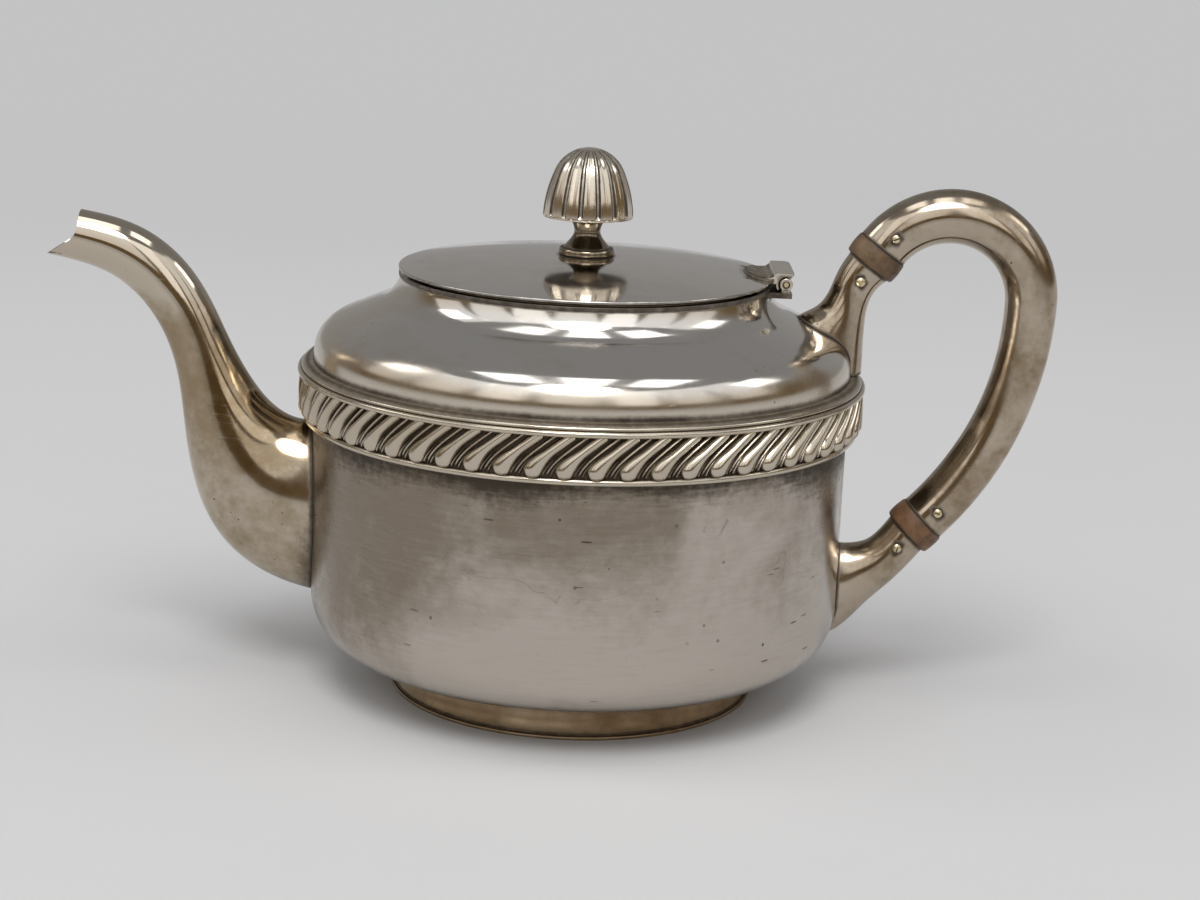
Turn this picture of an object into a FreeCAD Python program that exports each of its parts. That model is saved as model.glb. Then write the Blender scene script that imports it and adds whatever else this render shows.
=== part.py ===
# Round silver teapot with a hinged lid, a gadroon border and an insulated handle.
# The origin is on the table, at the centre of the foot. +Z is up, the spout points
# to -X and the handle to +X. Millimetres and degrees.
import FreeCAD, Part
import Sketcher
import math
import os

# Driving sizes

sizes = {
    # sheet metal
    "wall": 1.2,
    "solder_gap": 0.1,
    # bowl
    "drum_radius": 71.7,
    "drum_bottom": 11.2,
    "drum_corner": 15.0,
    "bowl_rim": 81.0,
    "strainer_hole": 2.1,
    "strainer_pitch": 6.4,
    "strainer_drop": 33.0,
    # foot
    "foot_inset": 7.2,
    "foot_flange": 1.1,
    "foot_lip": 0.7,
    "foot_hollow": 2.0,
    "foot_wall": 1.4,
    # shoulder
    "lap_depth": 5.0,
    "lap_wall": 0.9,
    "shoulder_rise": 33.0,
    "throat_inset": 22.66,
    "cove_radius": 9.64,
    "neck_drop": 1.8,
    "shelf_turn": 66.0,
    "roll_radius": 9.74,
    # mouth ring
    "mouth_ring_overhang": 0.4,
    "mouth_ring_height": 1.1,
    "mouth_lip_depth": 3.2,
    "mouth_lip_wall": 1.3,
    # gadroon border
    "belt_drop": 7.0,
    "rim_bead_reach": 2.25,
    "rim_bead_height": 1.4,
    "rim_bead_curve": 0.85,
    "band_wall": 1.5,
    "band_height": 10.8,
    "top_bead_reach": 3.75,
    "top_bead_height": 1.4,
    "top_bead_curve": 0.8,
    "upper_bead_reach": 2.8,
    "upper_bead_height": 1.0,
    "upper_bead_curve": 0.55,
    "belt_cap": 0.9,
    "lobe_count": 60,
    "lobe_fat_radius": 2.5,
    "lobe_tip_radius": 1.75,
    "lobe_length": 8.0,
    "lobe_slant": 45.0,
    "lobe_sink": 0.35,
    "lobe_lift": 0.2,
    # lid
    "lid_overhang": 0.15,
    "lid_gap": 0.3,
    "lid_edge": 1.2,
    "lid_crown": 3.9,
    "lid_seat": 6.0,
    "lid_boss": 6.0,
    "bezel_wall": 1.1,
    "bezel_depth": 4.7,
    "bezel_gap": 0.6,
    # finial
    "collar_radius": 7.0,
    "collar_height": 2.0,
    "collar_curve": 1.25,
    "stem_foot": 6.5,
    "stem_neck": 3.5,
    "stem_neck_height": 6.3,
    "stem_top": 5.2,
    "stem_height": 10.2,
    "dome_radius": 12.07,
    "dome_rim": 0.5,
    "dome_side_curve": 33.4,
    "dome_lean": 3.0,
    "dome_break": 24.0,
    "flute_count": 16,
    "flute_radius": 0.75,
    "flute_curve": 38.0,
    "flute_middle": 22.0,
    "flute_spread": 31.0,
    "stud_radius": 1.5,
    "stud_play": 0.1,
    "stud_grip": 9.0,
    "stud_tail": 4.2,
    "washer_radius": 4.6,
    "washer_height": 0.8,
    "nut_radius": 4.0,
    "nut_height": 2.4,
    # hinge
    "hinge_offset": 2.95,
    "hinge_rise": 0.8,
    "hinge_width": 22.0,
    "knuckle_radius": 1.75,
    "centre_knuckle": 7.4,
    "knuckle_gap": 0.3,
    "hinge_pin_radius": 0.9,
    "hinge_pin_fit": 0.02,
    "hinge_play": 0.05,
    "hood_gap": 0.35,
    "hood_wall": 0.85,
    "hood_reach": 2.1,
    "hood_start": 56.0,
    "leaf_length": 8.3,
    "leaf_rise": 0.9,
    "leaf_web": 1.8,
    "bracket_neck": 1.2,
    "bracket_reach": 1.7,
    "bracket_drop": 2.25,
    "bracket_plate": 1.4,
    # handle
    "grip_radius": 6.9,
    "grip_offset": 25.2,
    "grip_drop": 1.7,
    "grip_top_bend": 22.3,
    "grip_side_bend": 86.4,
    "grip_upper_angle": 144.4,
    "grip_lower_angle": 44.5,
    "insulator_radius": 7.3,
    "insulator_length": 6.0,
    "insulator_round": 0.6,
    "tenon_radius": 4.3,
    "tenon_length": 7.5,
    "tenon_gap": 0.1,
    "socket_radius": 6.2,
    "pin_radius": 1.0,
    "pin_fit": 0.03,
    "pin_setback": 4.3,
    "pin_head_radius": 1.35,
    "pin_head_height": 0.55,
    "pin_head_sink": 0.55,
    "pin_slot": 0.35,
    # spout mouth
    "mouth_reach": 62.5,
    "mouth_step": 38.3,
    "lip_reach": 71.4,
    "lip_height": 32.7,
}

# Cross sections of the flared tubes, from the pot outwards: distance out from the drum wall,
# height above the bowl rim, lean of the tube from upright, half height and half width.
spout_sections = [
    (-9.7, -33.5, 90.0, 24.5, 16.0),
    (0.8, -33.8, 88.0, 23.2, 15.0),
    (13.6, -27.6, 60.7, 20.0, 13.0),
    (21.35, -16.45, 37.4, 14.55, 10.8),
    (26.5, -2.4, 17.5, 9.8, 8.6),
    (31.15, 9.95, 16.0, 7.85, 7.4),
    (39.05, 24.35, 38.0, 7.7, 7.0),
    (50.25, 33.75, 57.3, 7.5, 6.7),
    (65.2, 38.1, 78.5, 6.8, 6.4),
    (73.3, 39.5, 80.0, 6.7, 6.4),
]
upper_socket_sections = [
    (-7.2, 15.3, 24.0, 11.5, 8.5),
    (-5.2, 21.0, 19.0, 8.95, 7.2),
    (-2.9, 25.2, 12.0, 6.5, 6.2),
    (0.9, 34.0, 24.0, 5.75, 5.7),
]
lower_socket_sections = [
    (-7.7, -52.0, 90.0, 14.0, 7.5),
    (1.0, -51.0, 90.0, 12.0, 7.2),
    (6.35, -47.3, 79.0, 8.7, 6.7),
    (10.5, -44.3, 67.5, 7.0, 6.4),
    (14.5, -40.4, 53.4, 6.3, 6.2),
]
section_words = ("out", "up", "lean", "tall", "wide")
tubes = {"spout": spout_sections, "upper": upper_socket_sections, "lower": lower_socket_sections}
for tube, sections in tubes.items():
    for number, section in enumerate(sections, 1):
        for word, value in zip(section_words, section):
            sizes[f"{tube}_{word}_{number}"] = value

doc = FreeCAD.newDocument("Teapot")
sheet = doc.addObject("Spreadsheet::Sheet", "Sizes")
for row, (alias, value) in enumerate(sizes.items(), 1):
    sheet.set(f"A{row}", alias)
    sheet.set(f"B{row}", str(value))
    sheet.setAlias(f"B{row}", alias)
doc.recompute()


class Size:
    # A number together with the sheet expression that gives it.
    def __init__(self, value, text):
        self.value = value
        self.text = text

    def joined(self, sign, other, result):
        return Size(result, f"({self.text} {sign} {sized(other).text})")

    def __add__(self, other):
        return self.joined("+", other, self.value + sized(other).value)

    def __sub__(self, other):
        return self.joined("-", other, self.value - sized(other).value)

    def __mul__(self, other):
        return self.joined("*", other, self.value * sized(other).value)

    def __truediv__(self, other):
        return self.joined("/", other, self.value / sized(other).value)

    def __radd__(self, other):
        return sized(other) + self

    def __rsub__(self, other):
        return sized(other) - self

    def __rmul__(self, other):
        return sized(other) * self

    def __neg__(self):
        return Size(-self.value, f"(0 - {self.text})")


def sized(item):
    return item if isinstance(item, Size) else Size(float(item), str(item))


def cosine(angle):
    return Size(math.cos(math.radians(angle.value)), f"cos({angle.text})")


def sine(angle):
    return Size(math.sin(math.radians(angle.value)), f"sin({angle.text})")


def root(item):
    return Size(math.sqrt(item.value), f"sqrt({item.text})")


class Named:
    # The sheet's sizes as attributes.
    pass


dim = Named()
for alias in sizes:
    setattr(dim, alias, Size(float(sheet.get(alias)), f"Sizes.{alias}"))


# Helpers for sketches, features and placements

def bind(item, path, size):
    item.setExpression(path, sized(size).text)


def place(item, x, y, z):
    for axis, size in zip("xyz", (x, y, z)):
        bind(item, f"Placement.Base.{axis}", size)


def turn(item, axis, angle):
    item.Placement = FreeCAD.Placement(FreeCAD.Vector(), FreeCAD.Rotation(axis, sized(angle).value))
    bind(item, "Placement.Rotation.Angle", angle)


def turn_sketch(sketch, axis, angle):
    sketch.AttachmentOffset = FreeCAD.Placement(
        FreeCAD.Vector(), FreeCAD.Rotation(axis, angle.value)
    )
    bind(sketch, "AttachmentOffset.Rotation.Angle", angle)


across = FreeCAD.Vector(0, 1, 0)
along = FreeCAD.Vector(1, 0, 0)


def origin_feature(body, role):
    return next(item for item in body.Origin.OriginFeatures if item.Role == role)


def sketch_on(body, name, role):
    sketch = body.newObject("Sketcher::SketchObject", name)
    sketch.AttachmentSupport = [(origin_feature(body, role), "")]
    sketch.MapMode = "FlatFace"
    return sketch


def arc_centre(start, end, radius, side):
    middle = (start + end) * 0.5
    half = (end - start) * 0.5
    left = FreeCAD.Vector(-half.y, half.x, 0).normalize()
    return middle + left * side * math.sqrt(radius * radius - half.Length ** 2)


def draw(sketch, corners, closed=True):
    # Each corner is (x, y), or (x, y, radius, side) where an arc leads to the next corner.
    # Side is 1 where the arc turns left and -1 where it turns right.
    points = [FreeCAD.Vector(sized(c[0]).value, sized(c[1]).value, 0) for c in corners]
    count = len(corners)
    edges = []
    for i in range(count if closed else count - 1):
        start = points[i]
        end = points[(i + 1) % count]
        if len(corners[i]) == 2:
            geometry = sketch.addGeometry(Part.LineSegment(start, end))
            edges.append((geometry, 1, 2))
            continue
        radius, side = corners[i][2:]
        centre = arc_centre(start, end, sized(radius).value, side)
        first, last = (start, end) if side > 0 else (end, start)
        circle = Part.Circle(centre, FreeCAD.Vector(0, 0, 1), sized(radius).value)
        begin = math.atan2(first.y - centre.y, first.x - centre.x)
        finish = math.atan2(last.y - centre.y, last.x - centre.x)
        geometry = sketch.addGeometry(Part.ArcOfCircle(circle, begin, finish))
        edges.append((geometry, 1, 2) if side > 0 else (geometry, 2, 1))
        size = sketch.addConstraint(Sketcher.Constraint("Radius", geometry, sized(radius).value))
        bind(sketch, f"Constraints[{size}]", radius)
    joints = zip(edges, edges[1:] + edges[:1]) if closed else zip(edges, edges[1:])
    for (geometry, _, tail), (following, head, _) in joints:
        sketch.addConstraint(Sketcher.Constraint("Coincident", geometry, tail, following, head))
    ends = [(geometry, head) for geometry, head, _ in edges]
    if not closed:
        ends.append((edges[-1][0], edges[-1][2]))
    for (geometry, point), corner in zip(ends, corners):
        for kind, size in zip(("DistanceX", "DistanceY"), corner):
            rule = Sketcher.Constraint(kind, -1, 1, geometry, point, sized(size).value)
            bind(sketch, f"Constraints[{sketch.addConstraint(rule)}]", size)
    return sketch


def draw_circle(sketch, x, y, radius):
    spot = FreeCAD.Vector(sized(x).value, sized(y).value, 0)
    circle = sketch.addGeometry(Part.Circle(spot, FreeCAD.Vector(0, 0, 1), radius.value))
    rules = (
        (Sketcher.Constraint("DistanceX", -1, 1, circle, 3, spot.x), x),
        (Sketcher.Constraint("DistanceY", -1, 1, circle, 3, spot.y), y),
        (Sketcher.Constraint("Radius", circle, radius.value), radius),
    )
    for rule, size in rules:
        bind(sketch, f"Constraints[{sketch.addConstraint(rule)}]", size)


def new_body(name):
    return doc.addObject("PartDesign::Body", name)


def turned(name, corners):
    # A piece turned about the upright axis from its half section.
    body = new_body(name)
    sketch = draw(sketch_on(body, f"{name}_section", "XZ_Plane"), corners)
    feature = body.newObject("PartDesign::Revolution", f"{name}_turning")
    feature.Profile = sketch
    feature.ReferenceAxis = (sketch, ["V_Axis"])
    feature.Angle = 360
    return body


def polar(body, name, feature, count):
    pattern = body.newObject("PartDesign::PolarPattern", name)
    pattern.Originals = [feature]
    pattern.Axis = (origin_feature(body, "Z_Axis"), [""])
    pattern.Angle = 360
    pattern.Occurrences = int(count.value)
    bind(pattern, "Occurrences", count)
    body.Tip = pattern


def pad_across(name, corners, width):
    # A plate whose outline lies in the spout and handle plane, as wide on both sides of it.
    body = new_body(name)
    sketch = draw(sketch_on(body, f"{name}_outline", "XZ_Plane"), corners)
    pad = body.newObject("PartDesign::Pad", f"{name}_pad")
    pad.Profile = sketch
    pad.SideType = "Symmetric"
    bind(pad, "Length", width)
    return body


def cylinder(name, radius, length):
    item = doc.addObject("Part::Cylinder", name)
    bind(item, "Radius", radius)
    bind(item, "Height", length)
    return item


def rod_across(name, radius, length, x, z, y=0):
    # A round bar along Y, centred on y.
    item = cylinder(name, radius, length)
    turn(item, along, 90)
    place(item, x, y + sized(length) / 2, z)
    return item


def box(name, x, y, z, corner):
    item = doc.addObject("Part::Box", name)
    for path, size in zip(("Length", "Width", "Height"), (x, y, z)):
        bind(item, path, size)
    place(item, *corner)
    return item


def fuse(name, pieces):
    item = doc.addObject("Part::MultiFuse", name)
    item.Shapes = pieces
    return item


def cut(name, base, tool):
    item = doc.addObject("Part::Cut", name)
    item.Base = base
    item.Tool = tool
    return item


def common(name, base, tool):
    item = doc.addObject("Part::Common", name)
    item.Base = base
    item.Tool = tool
    return item


def finished(item, label):
    item.Label = label
    nodes.append(item)
    return item


nodes = []

# Heights and turns that several pieces share

cove_height = dim.bowl_rim + dim.shoulder_rise
neck_height = cove_height - dim.neck_drop
shelf_x = cosine(dim.shelf_turn)
shelf_z = sine(dim.shelf_turn)
cove_axis = dim.drum_radius - dim.throat_inset + dim.cove_radius
cove_end_x = cove_axis - dim.cove_radius * shelf_x
cove_end_z = cove_height - dim.cove_radius * shelf_z
roll_axis = dim.drum_radius - dim.roll_radius
roll_end_x = roll_axis + dim.roll_radius * shelf_x
shelf_length = (roll_end_x - cove_end_x) / shelf_z
roll_end_z = cove_end_z - shelf_length * shelf_x
roll_height = roll_end_z - dim.roll_radius * shelf_z
belt_inside = dim.drum_radius + dim.solder_gap
belt_bottom = dim.bowl_rim - dim.belt_drop
belt_top = (
    belt_bottom + dim.rim_bead_height + dim.band_height + dim.top_bead_height
    + dim.upper_bead_height + dim.belt_cap
)
mouth_top = neck_height + dim.mouth_ring_height
lid_under = mouth_top + dim.lid_gap
lid_rim = lid_under + dim.lid_edge
lid_top = lid_rim + dim.lid_crown


def cove_at_neck(offset):
    # Radius of the cove at the top of the neck, for a surface offset outwards from the shoulder.
    curve = dim.cove_radius - offset
    return cove_axis - root(curve * curve - dim.neck_drop * dim.neck_drop)


def pot_outline(offset):
    # The upper pot from the drum wall to the neck, offset outwards from its outer surface.
    return [
        (dim.drum_radius + offset, roll_height, dim.roll_radius + offset, 1),
        (roll_end_x + offset * shelf_x, roll_end_z + offset * shelf_z),
        (cove_end_x + offset * shelf_x, cove_end_z + offset * shelf_z, dim.cove_radius - offset, -1),
        (cove_at_neck(offset), neck_height),
    ]


# Bowl, with the strainer holes behind the spout

def make_bowl():
    corner_axis = dim.drum_radius - dim.drum_corner
    corner_height = dim.drum_bottom + dim.drum_corner
    inside = dim.drum_radius - dim.wall
    floor = dim.drum_bottom + dim.wall
    body = turned("bowl", [
        (dim.drum_radius, dim.bowl_rim),
        (dim.drum_radius, corner_height, dim.drum_corner, -1),
        (corner_axis, dim.drum_bottom),
        (0, dim.drum_bottom),
        (0, floor),
        (corner_axis, floor, dim.drum_corner - dim.wall, 1),
        (inside, corner_height),
        (inside, dim.bowl_rim),
    ])
    sketch = sketch_on(body, "strainer_holes", "YZ_Plane")
    middle = dim.bowl_rim - dim.strainer_drop
    row_pitch = dim.strainer_pitch * math.sqrt(0.75)
    for row in range(-3, 4):
        holes = 3 if row % 2 == 0 else 2
        for hole in range(holes):
            y = dim.strainer_pitch * (hole - (holes - 1) / 2)
            draw_circle(sketch, y, middle + row_pitch * row, dim.strainer_hole)
    doc.recompute()
    solid = body.Shape.Volume
    pocket = body.newObject("PartDesign::Pocket", "strainer")
    pocket.Profile = sketch
    pocket.Type = "ThroughAll"
    pocket.Reversed = False
    doc.recompute()
    if body.Shape.Volume >= solid:
        raise ValueError("the strainer holes miss the bowl")
    return finished(body, "body_bowl")


# Foot ring

def make_foot():
    outside = dim.drum_radius - dim.drum_corner - dim.foot_inset
    edge = outside - dim.foot_lip
    waist = edge - dim.foot_hollow
    inside = waist - dim.foot_wall
    waist_rise = (dim.drum_bottom - dim.foot_flange) / 2
    sweep = (dim.foot_hollow * dim.foot_hollow + waist_rise * waist_rise) / (2 * dim.foot_hollow)
    return finished(turned("foot", [
        (inside, 0),
        (outside, 0),
        (outside, dim.foot_flange),
        (edge, dim.foot_flange, sweep, -1),
        (waist, dim.foot_flange + waist_rise, sweep, -1),
        (edge, dim.drum_bottom),
        (inside, dim.drum_bottom),
    ]), "foot_ring")


# Shoulder, lapped inside the bowl's rim

def make_shoulder():
    lap_outside = dim.drum_radius - dim.wall - dim.solder_gap
    lap_inside = lap_outside - dim.lap_wall
    outer = pot_outline(sized(0))
    inner = pot_outline(-dim.wall)
    return finished(turned("shoulder_shell", [
        (lap_outside, dim.bowl_rim - dim.lap_depth),
        (lap_outside, dim.bowl_rim),
        (dim.drum_radius, dim.bowl_rim),
        *outer,
        inner[3] + (dim.cove_radius + dim.wall, 1),
        inner[2][:2],
        inner[1] + (dim.roll_radius - dim.wall, -1),
        inner[0][:2],
        (dim.drum_radius - dim.wall, dim.bowl_rim + dim.lap_wall),
        (lap_inside, dim.bowl_rim + dim.lap_wall),
        (lap_inside, dim.bowl_rim - dim.lap_depth),
    ]), "shoulder")


def make_pot_clearance():
    # The pot's outside with the solder gap, which trims what is soldered to it.
    gap = dim.solder_gap
    corner_height = dim.drum_bottom + dim.drum_corner
    return turned("pot_clearance", [
        (0, dim.drum_bottom - gap),
        (dim.drum_radius - dim.drum_corner, dim.drum_bottom - gap, dim.drum_corner + gap, 1),
        (dim.drum_radius + gap, corner_height),
        *pot_outline(gap),
        (0, neck_height),
    ])


# The mouth ring sits on the neck and inside it, and the lid and its bezel follow the ring.

mouth_lip = cove_at_neck(-dim.wall) - dim.solder_gap
mouth_inside = mouth_lip - dim.mouth_lip_wall
mouth_outside = cove_at_neck(sized(0)) + dim.mouth_ring_overhang
bezel_radius = mouth_inside - dim.bezel_gap
lid_radius = mouth_outside + dim.lid_overhang
crown_curve = (lid_radius * lid_radius + dim.lid_crown * dim.lid_crown) / (2 * dim.lid_crown)
crown_axis = lid_top - crown_curve
lid_hollow = crown_curve - dim.lid_edge
boss_under = crown_axis + root(lid_hollow * lid_hollow - dim.lid_boss * dim.lid_boss)


def make_mouth_ring():
    return finished(turned("mouth", [
        (mouth_inside, neck_height - dim.mouth_lip_depth),
        (mouth_lip, neck_height - dim.mouth_lip_depth),
        (mouth_lip, neck_height),
        (mouth_outside, neck_height),
        (mouth_outside, mouth_top),
        (mouth_inside, mouth_top),
    ]), "mouth_ring")


# Gadroon border: beads above and below a band of slanted teardrop lobes

def make_border():
    band = belt_inside + dim.band_wall
    rim_bead = belt_inside + dim.rim_bead_reach
    top_bead = belt_inside + dim.top_bead_reach
    upper_bead = belt_inside + dim.upper_bead_reach
    band_low = belt_bottom + dim.rim_bead_height
    band_high = band_low + dim.band_height
    bead_high = band_high + dim.top_bead_height
    upper_high = bead_high + dim.upper_bead_height
    body = turned("border", [
        (belt_inside, belt_bottom),
        (rim_bead, belt_bottom, dim.rim_bead_curve, 1),
        (rim_bead, band_low),
        (band, band_low),
        (band, band_high),
        (top_bead, band_high, dim.top_bead_curve, 1),
        (top_bead, bead_high),
        (upper_bead, bead_high, dim.upper_bead_curve, 1),
        (upper_bead, upper_high),
        (band, upper_high),
        (belt_inside + dim.belt_cap, belt_top),
        (belt_inside, belt_top),
    ])
    # A lobe is half a teardrop whose flat back is sunk in the band.
    sketch = sketch_on(body, "lobe_section", "XZ_Plane")
    turn_sketch(sketch, FreeCAD.Vector(-1, 0, 0), dim.lobe_slant)
    bind(sketch, "AttachmentOffset.Base.x", band - dim.lobe_sink)
    bind(sketch, "AttachmentOffset.Base.y", band_low + dim.band_height / 2 + dim.lobe_lift)
    half = dim.lobe_length / 2
    taper = (dim.lobe_fat_radius - dim.lobe_tip_radius) / dim.lobe_length
    side = root(1 - taper * taper)
    draw(sketch, [
        (0, -half - dim.lobe_fat_radius, dim.lobe_fat_radius, 1),
        (dim.lobe_fat_radius * side, dim.lobe_fat_radius * taper - half),
        (dim.lobe_tip_radius * side, dim.lobe_tip_radius * taper + half, dim.lobe_tip_radius, 1),
        (0, half + dim.lobe_tip_radius),
    ])
    lobe = body.newObject("PartDesign::Revolution", "lobe")
    lobe.Profile = sketch
    lobe.ReferenceAxis = (sketch, ["V_Axis"])
    lobe.Angle = 180
    lobe.Midplane = True
    polar(body, "lobes", lobe, dim.lobe_count)
    return finished(body, "gadroon_border")


# Lid, bezel and finial

def make_lid():
    bore = dim.stud_radius + dim.stud_play
    seat_inside = lid_radius - dim.lid_seat
    seat_top = crown_axis + root(lid_hollow * lid_hollow - seat_inside * seat_inside)
    bore_top = crown_axis + root(crown_curve * crown_curve - bore * bore)
    return finished(turned("lid", [
        (bore, boss_under),
        (dim.lid_boss, boss_under, lid_hollow, -1),
        (seat_inside, seat_top),
        (seat_inside, lid_under),
        (lid_radius, lid_under),
        (lid_radius, lid_rim, crown_curve, 1),
        (bore, bore_top),
    ]), "lid_plate")


def make_bezel():
    inside = bezel_radius - dim.bezel_wall
    return finished(turned("bezel", [
        (inside, lid_under - dim.bezel_depth),
        (bezel_radius - dim.bezel_wall / 2, lid_under - dim.bezel_depth),
        (bezel_radius, lid_under - dim.bezel_depth + dim.bezel_wall / 2),
        (bezel_radius, lid_under),
        (inside, lid_under),
    ]), "lid_bezel")


def make_stem():
    bore = dim.stud_radius + dim.stud_play
    foot_drop = dim.stem_neck_height - dim.collar_height
    foot_flare = dim.stem_foot - dim.stem_neck
    top_rise = dim.stem_height - dim.stem_neck_height
    top_flare = dim.stem_top - dim.stem_neck
    foot_sweep = (foot_flare * foot_flare + foot_drop * foot_drop) / (2 * foot_flare)
    top_sweep = (top_flare * top_flare + top_rise * top_rise) / (2 * top_flare)
    return finished(turned("stem", [
        (bore, lid_top),
        (dim.collar_radius, lid_top, dim.collar_curve, 1),
        (dim.collar_radius, lid_top + dim.collar_height),
        (dim.stem_foot, lid_top + dim.collar_height, foot_sweep, -1),
        (dim.stem_neck, lid_top + dim.stem_neck_height, top_sweep, -1),
        (dim.stem_top, lid_top + dim.stem_height),
        (bore, lid_top + dim.stem_height),
    ]), "finial_stem")


def make_dome():
    bore = dim.stud_radius + dim.stud_play
    base = lid_top + dim.stem_height
    side_start = base + dim.dome_rim
    break_x = dim.dome_radius - dim.dome_side_curve * (cosine(dim.dome_lean) - cosine(dim.dome_break))
    break_z = side_start + dim.dome_side_curve * (sine(dim.dome_break) - sine(dim.dome_lean))
    top_curve = break_x / cosine(dim.dome_break)
    peak = break_z + top_curve * (1 - sine(dim.dome_break))
    body = turned("dome", [
        (bore, base),
        (dim.dome_radius - dim.dome_rim, base),
        (dim.dome_radius, side_start, dim.dome_side_curve, 1),
        (break_x, break_z, top_curve, 1),
        (0, peak),
        (0, base + dim.stud_grip),
        (bore, base + dim.stud_grip),
    ])
    # Each flute is cut by part of a large thin ring, and runs out near the rim and near the top.
    lean = dim.flute_middle
    side_axis_x = dim.dome_radius - dim.dome_side_curve * cosine(dim.dome_lean)
    side_axis_z = side_start - dim.dome_side_curve * sine(dim.dome_lean)
    middle_x = side_axis_x + dim.dome_side_curve * cosine(lean)
    middle_z = side_axis_z + dim.dome_side_curve * sine(lean)
    sketch = sketch_on(body, "flute_section", "XY_Plane")
    turn_sketch(sketch, -across, lean)
    bind(sketch, "AttachmentOffset.Base.x", middle_x - dim.flute_curve * cosine(lean))
    bind(sketch, "AttachmentOffset.Base.z", middle_z - dim.flute_curve * sine(lean))
    draw_circle(sketch, dim.flute_curve, 0, dim.flute_radius)
    flute = body.newObject("PartDesign::Groove", "flute")
    flute.Profile = sketch
    flute.ReferenceAxis = (sketch, ["V_Axis"])
    bind(flute, "Angle", dim.flute_spread)
    flute.Midplane = True
    polar(body, "flutes", flute, dim.flute_count)
    return finished(body, "finial_dome")


def make_finial_fixing():
    washer_under = boss_under - dim.washer_height
    nut_under = washer_under - dim.nut_height
    bore = dim.stud_radius + dim.stud_play
    stud_top = lid_top + dim.stem_height + dim.stud_grip
    stud_foot = boss_under - dim.stud_tail
    stud = cylinder("stud", dim.stud_radius, stud_top - stud_foot)
    place(stud, 0, 0, stud_foot)
    finished(stud, "finial_stud")
    disc = cylinder("washer_disc", dim.washer_radius, dim.washer_height)
    hexagon = doc.addObject("Part::Prism", "nut_hexagon")
    hexagon.Polygon = 6
    bind(hexagon, "Circumradius", dim.nut_radius)
    bind(hexagon, "Height", dim.nut_height)
    for blank, under, label in (
        (disc, washer_under, "finial_washer"),
        (hexagon, nut_under, "finial_nut"),
    ):
        place(blank, 0, 0, under)
        hole = cylinder(f"{label}_hole", bore, dim.washer_height + dim.nut_height)
        place(hole, 0, 0, nut_under)
        finished(cut(f"{label}_bored", blank, hole), label)


# Hinge

hinge_x = lid_radius + dim.hinge_offset
hinge_z = lid_under + dim.hinge_rise


def lid_sphere(name, offset):
    # The ball that the lid's crown is part of, larger by the offset.
    ball = doc.addObject("Part::Sphere", name)
    bind(ball, "Radius", crown_curve + offset)
    place(ball, 0, 0, crown_axis)
    return ball


def make_hinge_leaf():
    arch = dim.knuckle_radius + dim.hood_gap
    hood_top = hinge_z + arch + dim.hood_wall
    leaf_floor = lid_rim + dim.solder_gap
    foot_rise = leaf_floor - hinge_z
    arch_foot = hinge_x - root(arch * arch - foot_rise * foot_rise)
    web_left = arch_foot - dim.leaf_web
    arch_start_x = hinge_x + arch * cosine(dim.hood_start)
    arch_start_z = hinge_z + arch * sine(dim.hood_start)
    hood = pad_across("hood", [
        (web_left, leaf_floor),
        (arch_foot, leaf_floor, arch, -1),
        (arch_start_x, arch_start_z),
        (hinge_x + dim.hood_reach, hood_top - dim.hood_wall),
        (hinge_x + dim.hood_reach, hood_top),
        (web_left + dim.hood_wall, hood_top, dim.hood_wall, 1),
        (web_left, hood_top - dim.hood_wall),
    ], dim.hinge_width)
    # The tongue follows the crowned lid and ends in a half round.
    half = dim.hinge_width / 2
    round_curve = (dim.leaf_length * dim.leaf_length + half * half) / (2 * dim.leaf_length)
    tongue_height = dim.lid_crown + dim.leaf_rise
    tongue = cylinder("tongue", round_curve, tongue_height)
    tongue_left = web_left - dim.leaf_length + dim.leaf_web
    place(tongue, tongue_left + round_curve, 0, lid_rim)
    keep = box(
        "tongue_limit", dim.leaf_length, dim.hinge_width, tongue_height, (tongue_left, -half, lid_rim)
    )
    blank = common("tongue_blank", tongue, keep)
    plate = common("tongue_plate", blank, lid_sphere("tongue_top", dim.leaf_rise))
    web = box(
        "leaf_knuckle_web", dim.knuckle_radius, dim.centre_knuckle, arch + dim.hood_wall / 2,
        (hinge_x - dim.knuckle_radius / 2, -(dim.centre_knuckle / 2), hinge_z),
    )
    knuckle = rod_across("leaf_knuckle", dim.knuckle_radius, dim.centre_knuckle, hinge_x, hinge_z)
    # The crown of the lid and the pin are cut away from the leaf.
    crown_limit = cylinder("lid_crown_limit", lid_radius, dim.lid_crown * 2)
    place(crown_limit, 0, 0, lid_rim)
    crown_cap = common("lid_crown_cap", crown_limit, lid_sphere("lid_crown_clearance", dim.solder_gap))
    hole = rod_across(
        "leaf_pin_hole", dim.hinge_pin_radius + dim.hinge_play, dim.hinge_width * 2, hinge_x, hinge_z
    )
    solid = fuse("leaf_solid", [hood, plate, web, knuckle])
    seated = cut("leaf_seated", solid, crown_cap)
    return finished(cut("leaf_bored", seated, hole), "hinge_leaf")


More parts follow.
